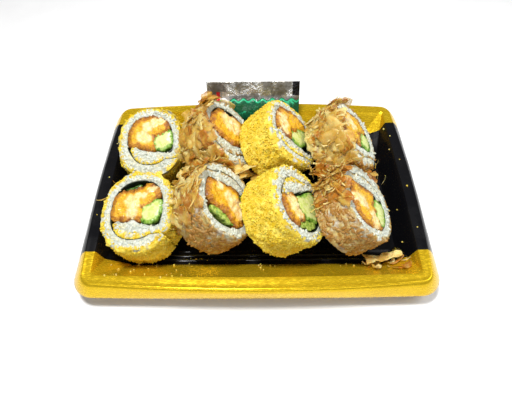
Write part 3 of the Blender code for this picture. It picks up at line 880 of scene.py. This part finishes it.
def makeRice(name, roll):
    place = placing(roll)
    shaved = name in shavedRolls
    last = bandEnd(roll)
    around = int(last / 360.0 * 148.0 / sheet["cell"])
    levels = riceLevels(roll["depth"])
    bm = bmesh.new()
    bmesh.ops.create_grid(bm, x_segments=around, y_segments=sheet["across"], size=0.5)
    region = list(bm.faces)
    for level in levels[1:]:
        out = bmesh.ops.extrude_face_region(bm, geom=region)["geom"]
        region = [g for g in out if isinstance(g, bmesh.types.BMFace)]
        for g in out:
            if isinstance(g, bmesh.types.BMVert):
                g.co.z = level
    coat = bm.verts.layers.float.new("coat")
    # painted shade in the hollows between bumps, read by the rice finish
    pitShade = bm.verts.layers.float.new("pitShade")
    free = {}
    for vert in bm.verts:
        swept, share, level = (vert.co.x + 0.5) * last, vert.co.y + 0.5, vert.co.z
        openAir = smooth((swept - roll["lap"] - 2.0) / 15.0)
        x, y = sheetPoint(roll, swept, share, level)
        vert.co = place(x, y, level)
        ragged = 1.2 + 4.0 * noise.noise(Vector((swept / 14.0, 0.5, 1.0))) ** 2
        fade = smooth((-level - 0.3) / ragged)
        patchy = smooth(0.75 + 2.0 * noise.noise(Vector((swept / 12.0, 0.0, 1.0))))
        onCut = patchy * smooth((0.52 - share) / 0.4)
        vert[coat] = max(0.85 * onCut, fade * (share < 0.5) * mix(0.4, 1.0, openAir))
        if level > -0.1:
            free[vert] = sheet["cutBump"] if 0.05 < share < 0.97 else sheet["cutEdgeBump"]
        elif share < 0.01:
            free[vert] = sheet["shavedBump" if shaved else "crumbedBump"] * max(0.25, openAir)
    roughenRice(bm, free, pitShade, Vector((roll["face"][0], 7.0, 3.0)), shaved)
    bmesh.ops.recalc_face_normals(bm, faces=bm.faces)
    surface = BVHTree.FromBMesh(bm)
    finish = "shavedRice" if shaved else "crumbedRice"
    addPiece(name + "_riceSheet", bm, finish, riceSlot(name), name + "_rice")
    return surface


def onWall(surface, spot, out):
    # the point of the rice's wall that lies outwards or inwards of a spot
    found = surface.ray_cast(spot + out * 5.0, -out, 10.0)[0]
    return found or spot


# Small kinds that are scattered

def template(name, bm, tone=None):
    if tone is not None:
        layer = bm.verts.layers.float.new("tone")
        for vert in bm.verts:
            vert[layer] = tone
    mesh = takeMesh(name, bm)
    rest = np.zeros(len(mesh.vertices) * 3, np.float32)
    mesh.vertices.foreach_get("co", rest)
    return mesh, rest.reshape(-1, 3)


def strew(bm, kind, matrix):
    mesh, rest = kind
    m = np.array(matrix, np.float32)
    moved = rest @ m[:3, :3].T + m[:3, 3]
    mesh.vertices.foreach_set("co", moved.astype(np.float32).ravel())
    bm.from_mesh(mesh)


def clearKinds(kinds):
    for mesh, rest in kinds:
        bpy.data.meshes.remove(mesh)


def spun(rng):
    return Matrix.Rotation(rng.uniform(0, math.tau), 4, "Z")


def sized(size, flat=1.0):
    return Matrix.Diagonal((size, size, size * flat, 1))


rice = {
    "grains": 300,  # on the cut of each roll
    "sideGrains": 420,  # on the wall of each shaved roll
    "kinds": 8,
    "halfLengths": (2.2, 2.8),
    "halfWidths": (0.95, 1.15),
    "bend": 0.5,
    "sizes": (0.75, 1.0),
    "tipped": 0.35,
    "sideTipped": 0.25,
    "sunk": (-0.75, -0.15),
    "sideSunk": 0.3,
}


def grainKinds():
    rng = random.Random(21)
    kinds = []
    for k in range(rice["kinds"]):
        bm = bmesh.new()
        bmesh.ops.create_icosphere(bm, subdivisions=2, radius=1.0)
        length, width = rng.uniform(*rice["halfLengths"]), rng.uniform(*rice["halfWidths"])
        bend = rng.uniform(-rice["bend"], rice["bend"])
        for vert in bm.verts:
            x, y, z = vert.co
            vert.co = Vector((x * length, y * width + bend * x * x, z * width * 0.9))
        kinds.append(template(f"grain{k}", bm, rng.random()))
    return kinds


crumbs = {
    "count": 4300,
    "faceCount": 900,  # strewn over the cut
    "kinds": 12,
    "small": 0.28,
    "large": 0.9,
    "flat": 0.8,
    "spread": 1.2,  # how far in from the edge those on the cut lie
    "deepest": 3.6,
    "lowest": 1.6,
}


def crumbKinds():
    rng = random.Random(22)
    kinds = []
    for k in range(crumbs["kinds"]):
        bm = bmesh.new()
        bmesh.ops.create_icosphere(bm, subdivisions=1, radius=1.0)
        for vert in bm.verts:
            vert.co *= rng.uniform(0.65, 1.25)
            vert.co.z *= rng.uniform(0.7, 1.0)
        kinds.append(template(f"crumb{k}", bm, rng.random()))
    return kinds


def frameAt(outward):
    # turn that takes +Z to the outward direction
    return Vector(outward).to_track_quat("Z", "Y").to_matrix().to_4x4()


def grainLie(rng, tipped):
    # turned any way, tipped a little and of its own size
    spin = spun(rng)
    tip = Matrix.Rotation(rng.gauss(0, tipped), 4, "Y")
    return spin @ tip @ sized(rng.uniform(*rice["sizes"]))


def makeGrains(name, roll, surface, kinds):
    rng = random.Random(name + "grains")
    place = placing(roll)
    last = bandEnd(roll)
    tilt = tiltMatrix(roll)
    bm = bmesh.new()
    for i in range(rice["grains"]):
        swept = rng.uniform(4.0, last - 14.0)
        outer, inner = bandDepths(roll, swept)
        thick = inner - outer
        if thick < 2.0:
            continue
        share = rng.uniform(1.3 / thick, 1.0 - 1.2 / thick) if thick > 2.8 else 0.5
        x, y = sheetPoint(roll, swept, share, 0.0)
        lie = grainLie(rng, rice["tipped"])
        middle = place(x, y, rng.uniform(*rice["sunk"]))
        strew(bm, rng.choice(kinds), Matrix.Translation(middle) @ tilt.to_4x4() @ lie)
    addPiece(name + "_grains", bm, "grain", riceSlot(name))
    if name not in shavedRolls:
        return
    bm = bmesh.new()
    for i in range(rice["sideGrains"]):
        swept = rng.uniform(roll["lap"] + 25.0, last - 6.0)
        level = -rng.uniform(0.8, roll["depth"] - 0.8)
        x, y = sheetPoint(roll, swept, 0.0, level)
        out = tilt @ Vector((x, y, 0)).normalized()
        middle = onWall(surface, place(x, y, level), out) - out * rice["sideSunk"]
        lie = grainLie(rng, rice["sideTipped"])
        strew(bm, rng.choice(kinds), Matrix.Translation(middle) @ frameAt(out) @ lie)
    addPiece(name + "_sideGrains", bm, "glazedGrain", riceSlot(name))


def makeCrumbs(name, roll, surface, kinds):
    rng = random.Random(name + "crumbs")
    place = placing(roll)
    last = bandEnd(roll)
    tilt = tiltMatrix(roll)
    bm = bmesh.new()
    for i in range(crumbs["count"] + crumbs["faceCount"]):
        depthIn = 0.0
        if i >= crumbs["count"]:
            # strewn in clumps over the cut, near the sheet's outer face
            swept = rng.uniform(0.0, last)
            level = rng.uniform(-0.1, 0.35)
            depthIn = rng.expovariate(1.0) * crumbs["spread"]
            clump = noise.noise(Vector((swept / 16.0, roll["face"][0], roll["face"][1])))
            if depthIn > crumbs["deepest"] or clump < rng.uniform(-0.5, 0.15):
                continue
        else:
            swept = rng.uniform(roll["lap"] + 8.0, last - 2.0)
            level = -rng.uniform(0.0, 1.0) * roll["depth"]
            if -level < 3.0 * noise.noise(Vector((swept / 14.0, roll["depth"], 1.0))) + 1.5:
                continue
        outer, inner = bandDepths(roll, swept)
        inwards = min(0.9, depthIn / max(1.0, inner - outer))
        x, y = sheetPoint(roll, swept, inwards, min(level, 0.0))
        out = tilt @ Vector((x, y, 0)).normalized()
        size = mix(crumbs["small"], crumbs["large"], rng.random() ** 2.2)
        middle = place(x, y, level)
        if depthIn == 0.0:
            middle = onWall(surface, middle, out) + out * rng.uniform(-0.3, 0.4) * size
        if middle.z < crumbs["lowest"]:
            continue
        turn = Euler([rng.uniform(0, 6.3) for axis in range(3)]).to_matrix()
        strew(bm, rng.choice(kinds), Matrix.Translation(middle) @ turn.to_4x4()
              @ sized(size, crumbs["flat"]))
    addPiece(name + "_crumbs", bm, "crumb", "rice_crumbed")


# Fillings, grown from the solids of the frame

cores = {
    "front_1": ((-4.5, 6.8, 2.4), (-1.6, 3.4, 2.6), (-2.3, -1.6, 2.6), (0.6, 8.6, 1.8),
                (4.4, 8.6, 1.6), (8.6, 12.2, 1.8)),
    "front_2": ((1.1, 1.3, 3.0), (5.2, -2.6, 3.6), (8.8, -6.8, 2.8), (8.6, -0.8, 2.6),
                (-6.6, 5.6, 2.0)),
    "front_3": ((-9.6, -3.1, 2.6), (-7.4, -6.5, 3.0), (-4.2, -10.0, 2.4)),
    "front_4": ((-14.0, -3.5, 1.8), (-9.4, -2.6, 3.2), (-5.1, -4.4, 2.6), (1.8, -10.6, 2.8),
                (2.6, -14.4, 2.2)),
    "back_1": ((-1.6, 10.2, 2.4), (2.9, 12.6, 2.2), (7.0, 13.2, 1.6), (-4.8, 3.5, 2.8),
               (-1.6, 2.0, 2.2)),
    "back_2": ((-4.0, 7.6, 3.4), (1.9, 8.4, 3.6), (3.7, 4.0, 3.4), (-1.0, 3.0, 2.6)),
    "back_3": ((-10.8, 6.0, 2.4), (-10.3, 1.0, 2.8), (-9.9, -4.4, 2.4)),
    "back_4": ((-11.0, 3.0, 2.6), (-6.4, 7.6, 2.8), (-3.6, 4.3, 2.6)),
}

lightLeaves = ("front_2", "front_3")

fillings = {
    # broad, coarse and fine are the heights of the bumps, and crumb that of the crust's own
    "chicken": {"slot": "fried_chicken", "voxel": 0.65, "broad": 1.0, "coarse": 0.9,
                "fine": 0.3, "crumb": 0.45, "rim": 3.4, "swell": 2.1},
    "avocado": {"slot": "avocado", "voxel": 0.5, "broad": 0.0, "coarse": 0.12,
                "fine": 0.03, "crumb": 0.0, "rim": 3.0, "swell": 1.5},
    "leaf": {"slot": "leaf", "voxel": 0.4, "broad": 0.0, "coarse": 0.5,
             "fine": 0.15, "crumb": 0.0, "rim": 1.5, "swell": 0.1},
}


def smoothOut(bm, rounds):
    for i in range(rounds):
        bmesh.ops.smooth_vert(bm, verts=bm.verts, factor=0.5, use_axis_x=True,
                              use_axis_y=True, use_axis_z=True)


def grownCopy(node, voxel):
    # the frame's solid, merged and rebuilt with small even faces
    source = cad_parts[node]
    bm = bmesh.new()
    bm.from_mesh(source.data)
    bmesh.ops.remove_doubles(bm, verts=bm.verts, dist=0.01 * mm)
    mesh = takeMesh("growing", bm)
    helper = linked("growing", mesh)
    remesh = helper.modifiers.new("remesh", "REMESH")
    remesh.mode = "VOXEL"
    remesh.voxel_size = voxel * mm
    graph = bpy.context.evaluated_depsgraph_get()
    grown = bpy.data.meshes.new_from_object(helper.evaluated_get(graph))
    bpy.data.objects.remove(helper)
    bpy.data.meshes.remove(mesh)
    bm = bmesh.new()
    bm.from_mesh(grown)
    bpy.data.meshes.remove(grown)
    bmesh.ops.scale(bm, vec=(1000, 1000, 1000), verts=bm.verts)
    return bm


def cutOutline(node, face, back):
    # the outline at the cut, from the solid's own corners near that level
    corners = [back @ (vert.co * 1000 - face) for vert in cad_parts[node].data.vertices]
    ring = [c.to_2d() for c in corners if -1.6 < c.z < 0.0]
    middle = sum(ring, Vector((0, 0))) / len(ring)
    reach = sorted((math.atan2(*(c - middle).yx), (c - middle).length) for c in ring)
    return middle, [angle for angle, length in reach], [length for angle, length in reach]


def makeFilling(name, roll, kind):
    values = fillings[kind]
    node = f"{name}_{kind}"
    bm = grownCopy(node, values["voxel"])
    smoothOut(bm, 3)
    face = Vector(roll["face"])
    back = tiltMatrix(roll).transposed()
    middle, angles, lengths = cutOutline(node, face, back)
    depthLayer = bm.verts.layers.float.new("depth")
    coreLayer = bm.verts.layers.float.new("core")
    bm.normal_update()
    seed = Vector((roll["face"][1], 11.0, 5.0))
    spots = cores[name] if kind == "chicken" else ()
    moves = {}
    foot = min((back @ (vert.co - face)).z for vert in bm.verts)
    for vert in bm.verts:
        local = back @ (vert.co - face)
        arm = local.to_2d() - middle
        edge = np.interp(math.atan2(arm.y, arm.x), angles, lengths, period=math.tau)
        inside = max(0.0, edge - arm.length)
        vert[depthLayer] = min(1.0, inside / values["rim"]) if local.z > -2.2 else 0.0
        pale = 0.0
        for x, y, radius in spots:
            gap = (local.to_2d() - Vector((x, y))).length
            pale = max(pale, smooth(1.3 - gap / (radius * 1.7)))
        vert[coreLayer] = pale if local.z > -1.6 else 0.0
        if kind == "leaf":
            vert[coreLayer] = float(name in lightLeaves)
        p = vert.co + seed
        lift = values["swell"] * (1.0 if local.z < -0.3 else 0.5)
        lift += values["coarse"] * noise.noise(p / 2.6)
        lift += values["fine"] * noise.noise(p / 0.9)
        lift += values["broad"] * noise.noise(p / 6.0)
        lift += values["crumb"] * (cellBump(p, 1.9) - 0.5) * (1.0 - pale)
        # the foot stays inside the roll
        moves[vert] = vert.normal * lift * smooth((local.z - foot - 1.5) / 4.0)
    for vert, move in moves.items():
        vert.co += move
    addPiece(f"{node}Filling", bm, kind, values["slot"], node)


# Shavings

shavings = {
    # how many kinds, longest, shortest, widest, narrowest, most turn and seed
    "calm": (20, 24.0, 12.0, 12.0, 6.0, 1.0, 30),
    "broad": (16, 17.0, 8.0, 8.5, 3.5, 2.6, 31),
    "thin": (12, 12.0, 5.0, 1.5, 0.6, 2.6, 32),
    # on each roll: how many flakes and shreds, from and to what angle, how much browner
    "onRoll": {
        "front_2": (84, 26, 66, 238, 0.0),
        "front_4": (44, 170, 66, 215, 0.22),
        "back_2": (95, 34, 90, 288, 0.05),
        "back_4": (88, 60, 90, 285, 0.0),
    },
    # heaps between the rolls: on which, from, to, how many and what share are shreds
    "heaps": (("front_2", (-34, 1, 37), (-2, 3, 24), 34, 0.0),
              ("front_2", (-46, -36, 24), (-43, -6, 35), 18, 0.1),
              ("back_2", (-45, 14, 27), (-42, 44, 36), 12, 0.1),
              ("front_4", (33, 1, 29), (76, 3, 27), 60, 0.66)),
    "hugging": 0.72,  # share of the flakes that lie close round the roll
    "wall": 0.13,
    "lowest": 1.4,
}


def curl(rng, length, width, turn, k):
    # thin wavy strip, curled along its length, with a torn outline
    bm = bmesh.new()
    toneLayer = bm.verts.layers.float.new("tone")
    tone = rng.random()
    columns = max(5, int(length / 1.5))
    rows = max(1, int(width / 1.5))
    bmesh.ops.create_grid(bm, x_segments=columns, y_segments=rows, size=0.5)
    radius = length / max(0.2, turn)
    twist = rng.uniform(-0.5, 0.5)
    for vert in bm.verts:
        u, v = vert.co.x, vert.co.y
        torn = 1.0 + 0.55 * noise.noise(Vector((u * 5.0, 3.0 * (v > 0), k * 3.1)))
        end = length * (1.0 + 0.18 * noise.noise(Vector((v * 4.0, k * 1.7, 2.0))))
        taper = (1.0 - 1.3 * abs(u) ** 2.2)
        over = v * width * torn * taper
        angle = u * turn
        ripple = 0.35 * math.sin(7.0 * u + 4.0 * v + k)
        ripple += 0.5 * noise.noise(Vector((u * 4, v * 4, k)))
        reach = radius + ripple * min(1.0, width / 4.0)
        x = math.sin(angle) * reach * end / length
        z = radius - math.cos(angle) * reach
        spin = twist * u
        vert.co = Vector((x, over * math.cos(spin), z + over * math.sin(spin)))
        vert[toneLayer] = tone + 0.6 * noise.noise(vert.co / 4.0 + Vector((k, 0, 0)))
    return bm


def shavingKinds(count, longest, shortest, widest, narrowest, mostTurn, seed):
    rng = random.Random(seed)
    kinds = []
    for k in range(count):
        length = rng.uniform(shortest, longest)
        width = rng.uniform(narrowest, widest)
        bm = curl(rng, length, width, rng.uniform(0.2 * mostTurn, mostTurn), k + seed)
        bmesh.ops.solidify(bm, geom=bm.faces, thickness=shavings["wall"])
        bmesh.ops.recalc_face_normals(bm, faces=bm.faces)
        kinds.append(template(f"shaving{seed}_{k}", bm))
    return kinds


def layFlakes(rng, bm, name, roll, shapes):
    # flakes and shreds on the roll's wall
    place = placing(roll)
    tilt = tiltMatrix(roll)
    flakes, shreds, low, high = shavings["onRoll"][name][:4]
    for i in range(flakes + shreds):
        isShred = i >= flakes
        angle = rng.triangular(low, high)
        level = rng.uniform(-roll["depth"] + 3.0, 0.3)
        reach = outsideRadius(roll, angle)
        across = Vector((math.cos(math.radians(angle)), math.sin(math.radians(angle)), 0))
        hugging = not isShred and rng.random() < shavings["hugging"]
        lift = rng.uniform(0.5, 2.6) if isShred else rng.uniform(0.3, 1.7)
        middle = place(*(across * (reach + lift)).to_2d(), level)
        # x runs round the roll, y along it and z outwards
        around = Vector((-across.y, across.x, 0))
        turned = (tilt @ Matrix((around, Vector((0, 0, 1)), across)).transposed()).to_4x4()
        spin = rng.gauss(0.25, 0.55) if hugging else rng.uniform(0, math.tau)
        loose = 0.09 if hugging else 0.3
        tip = Euler((rng.gauss(0, loose), rng.gauss(0, loose), 0)).to_matrix().to_4x4()
        flip = math.pi if hugging or rng.random() < 0.5 else 0.0
        size = rng.uniform(0.75, 1.15)
        kind = rng.choice(shapes["thin" if isShred else "calm" if hugging else "broad"])
        strew(bm, kind, Matrix.Translation(middle) @ turned @ tip @ Matrix.Rotation(spin, 4, "Z")
              @ Matrix.Rotation(flip, 4, "X") @ sized(size))


def heapFlakes(rng, bm, name, shapes):
    # heaps that reach from one roll to the next
    for on, start, stop, count, shreds in shavings["heaps"]:
        for i in range(count if on == name else 0):
            middle = Vector(start).lerp(Vector(stop), rng.random())
            middle += Vector((rng.gauss(0, 1.5), rng.gauss(0, 2.5), rng.gauss(0, 1.2)))
            turn = Euler((rng.gauss(0.2, 0.35), rng.gauss(0.5, 0.35), rng.uniform(0, math.tau)))
            size = rng.uniform(0.6, 0.95)
            kind = rng.choice(shapes["thin" if rng.random() < shreds else "calm"])
            strew(bm, kind, Matrix.Translation(middle) @ turn.to_matrix().to_4x4()
                  @ Matrix.Rotation(math.pi, 4, "X") @ sized(size))


def makeShavings(name, roll, shapes):
    rng = random.Random(name + "shavings")
    bm = bmesh.new()
    layFlakes(rng, bm, name, roll, shapes)
    heapFlakes(rng, bm, name, shapes)
    low, high = (corner / mm for corner in boxAtStart)
    toneLayer = bm.verts.layers.float["tone"]
    for vert in bm.verts:
        vert[toneLayer] += shavings["onRoll"][name][-1]
        vert.co.z = min(max(vert.co.z, shavings["lowest"]), high.z - 0.05)
        vert.co.y = min(max(vert.co.y, low.y), high.y)
    addPiece(name + "_shavings", bm, "shaving", "shaving")


strewn = {
    # shapes, finish, slot, smallest and largest size, height of the middle, and the fields:
    # how many, from x to x and from y to y
    "crumbs": ("crumb", "looseCrumb", "rice_crumbed", 0.3, 0.75, 0.3,
               ((16, 84, 98, -40, 58), (7, -99, -88, -30, 55), (22, -88, -42, -68, -51),
                (9, -2, 12, -60, -51), (7, 44, 88, -56, -49), (5, -46, -28, -52, -46))),
    "shreds": ("thin", "shaving", "shaving", 0.35, 0.7, 0.6,
               ((4, -99, -88, -30, 40), (3, 86, 96, 10, 56), (7, 60, 90, -60, -48))),
    "flakes": ("broad", "shaving", "shaving", 0.45, 0.8, 1.3,
               ((12, 64, 90, -60, -49),)),
}


def makeStrewn(ground, shapes):
    rng = random.Random("strewn")
    for label, (kind, finish, slotName, smallest, largest, rise, fields) in strewn.items():
        bm = bmesh.new()
        for count, lowX, highX, lowY, highY in fields:
            for i in range(count):
                above = Vector((rng.uniform(lowX, highX), rng.uniform(lowY, highY), 100.0))
                spot, normal = ground.ray_cast(above, Vector((0, 0, -1)))[:2]
                size = rng.uniform(smallest, largest)
                spin = spun(rng)
                strew(bm, rng.choice(shapes[kind]), Matrix.Translation(spot + normal * rise)
                      @ frameAt(normal) @ spin @ sized(size))
        addPiece("strewn_" + label, bm, finish, slotName)


def makeLooseShaving():
    node = "shaving_loose"
    bm = grownCopy(node, 0.45)
    smoothOut(bm, 2)
    layer = bm.verts.layers.float.new("tone")
    bm.normal_update()
    for vert in bm.verts:
        vert[layer] = 0.35 + 0.5 * noise.noise(vert.co / 5.0)
    for vert in bm.verts:
        p = Vector((vert.co.x, vert.co.y, 0.0))
        vert.co += noise.noise_vector(p / 4.0) * 1.6 + noise.noise_vector(p / 1.5) * 0.5
    addPiece("looseShaving", bm, "shaving", "shaving", node)


# Sachet

sachet = {
    "width": 66.0,
    "foot": (-1.7, 52.7, 7.8),
    "head": (-1.7, 71.0, 44.0),
    "full": 5.0,
    "band": 9.5,
    "columns": 90,
    "rows": 54,
    "halfFilm": 0.15,
    "ripple": 0.5,
}


def makeSachet():
    foot, head = Vector(sachet["foot"]), Vector(sachet["head"])
    height = (head - foot).length
    up = (head - foot).normalized()
    out = Vector((1, 0, 0)).cross(up)
    bm = bmesh.new()
    bmesh.ops.create_grid(bm, x_segments=sachet["columns"], y_segments=sachet["rows"], size=0.5)
    film = bm.loops.layers.uv.new("film")
    made = bmesh.ops.extrude_face_region(bm, geom=bm.faces, use_keep_orig=True)["geom"]
    for g in made:
        if isinstance(g, bmesh.types.BMVert):
            g.co.z = 1.0
    for face in bm.faces:
        for loop in face.loops:
            loop[film].uv = (loop.vert.co.x + 0.5, loop.vert.co.y + 0.5)
    for vert in bm.verts:
        u, v = vert.co.x + 0.5, vert.co.y + 0.5
        side = 1.0 if vert.co.z > 0.5 else -1.0
        fromEnds = min(v, 1.0 - v) * height
        fromSides = min(u, 1.0 - u) * sachet["width"]
        body = smooth((fromEnds - sachet["band"]) / 8.0 + 0.05) * smooth(fromSides / 9.0 + 0.1)
        ripple = sachet["ripple"] * math.sin(19.0 * u) * math.cos(3.0 * v + 1.0)
        p = Vector((u * sachet["width"], v * height, side * 3.0))
        crease = 0.5 * noise.noise(p / 6.0) + 0.3 * abs(noise.noise(p / 2.6))
        edge = min(1.0, fromEnds / 3.0 + 0.2, fromSides / 3.0 + 0.2)
        filled = body * sachet["full"] / 2 + crease * edge * (0.4 + body)
        bulge = ripple + side * (sachet["halfFilm"] + filled)
        along = Vector(((u - 0.5) * sachet["width"], 0, 0))
        vert.co = foot + along + up * (v * height) + out * bulge
    bmesh.ops.recalc_face_normals(bm, faces=bm.faces)
    addPiece("sauceSachet", bm, "film", "sachet_film", "sachet")
    print("sachet made")


# Stage and camera, in millimetres and radians

shot = {
    "place": (1.1458, -165.549, 234.201),
    "pitch": 0.956244,
    "yaw": 0.00789493,
    "roll": -0.0130117,
    "lens": 29.09,
    "floorSize": 3000.0,
    "floorDrop": 0.05,
    "world": 0.25,
}

lamps = {
    # place, aim, length, width and power in watts
    "keyLamp": ((-90.0, 10.0, 640.0), (0, 0, 20), 130.0, 130.0, 4.3),
    "fillLamp": ((420.0, 0.0, 460.0), (0, 0, 20), 300.0, 300.0, 1.3),
    "frontLamp": ((-30.0, -560.0, 330.0), (0, 0, 10), 800.0, 60.0, 0.9),
}


def makeCamera():
    data = bpy.data.cameras.new("camera")
    data.lens = shot["lens"]
    data.sensor_width = 36.0
    data.clip_start = 0.01
    data.clip_end = 50.0
    camera = linked("camera", data)
    turn = Matrix.Rotation(shot["yaw"], 3, "Z")
    pitch = shot["pitch"]
    forward = turn @ Vector((0, math.cos(pitch), -math.sin(pitch)))
    up = turn @ Vector((0, math.sin(pitch), math.cos(pitch)))
    right = turn @ Vector((1, 0, 0))
    cosine, sine = math.cos(shot["roll"]), math.sin(shot["roll"])
    across = right * cosine + up * sine
    above = up * cosine - right * sine
    basis = Matrix((across, above, -forward)).transposed().to_4x4()
    camera.matrix_world = Matrix.Translation(Vector(shot["place"]) * mm) @ basis
    bpy.context.scene.camera = camera


def makeStage():
    bm = bmesh.new()
    bmesh.ops.create_grid(bm, x_segments=4, y_segments=4, size=shot["floorSize"] * mm / 2)
    bmesh.ops.translate(bm, vec=(0, 0, -shot["floorDrop"] * mm), verts=bm.verts)
    mesh = takeMesh("floor", bm)
    mesh.materials.append(plainFloor())
    floor = linked("floor", mesh)
    for name, (place, aim, length, width, power) in lamps.items():
        data = bpy.data.lights.new(name, "AREA")
        data.shape = "RECTANGLE"
        data.size = length * mm
        data.size_y = width * mm
        data.energy = power
        lamp = linked(name, data)
        away = (Vector(place) - Vector(aim)).to_track_quat("Z", "Y").to_matrix().to_4x4()
        lamp.matrix_world = Matrix.Translation(Vector(place) * mm) @ away
    world = bpy.data.worlds.new("studio")
    world.use_nodes = True
    sky = world.node_tree.nodes["Background"]
    sky.inputs["Color"].default_value = colour(1.0, 1.0, 1.0)
    sky.inputs["Strength"].default_value = shot["world"]
    bpy.context.scene.world = world
    bpy.context.scene.view_settings.view_transform = "Standard"
    print("stage set")


ground = makeTray()
shapes = {"grain": grainKinds(), "crumb": crumbKinds()}
for kind in ("calm", "broad", "thin"):
    shapes[kind] = shavingKinds(*shavings[kind])
for name, roll in rolls.items():
    surface = makeRice(name, roll)
    makeGrains(name, roll, surface, shapes["grain"])
    if name in shavedRolls:
        makeShavings(name, roll, shapes)
    else:
        makeCrumbs(name, roll, surface, shapes["crumb"])
    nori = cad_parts[name + "_nori"].data
    nori.materials.clear()
    nori.materials.append(finishes["nori"])
    for kind in fillings:
        if f"{name}_{kind}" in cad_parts:
            makeFilling(name, roll, kind)
    print(name, "made")
makeLooseShaving()
makeStrewn(ground, shapes)
makeSachet()
for kinds in shapes.values():
    clearKinds(kinds)
makeStage()
makeCamera()
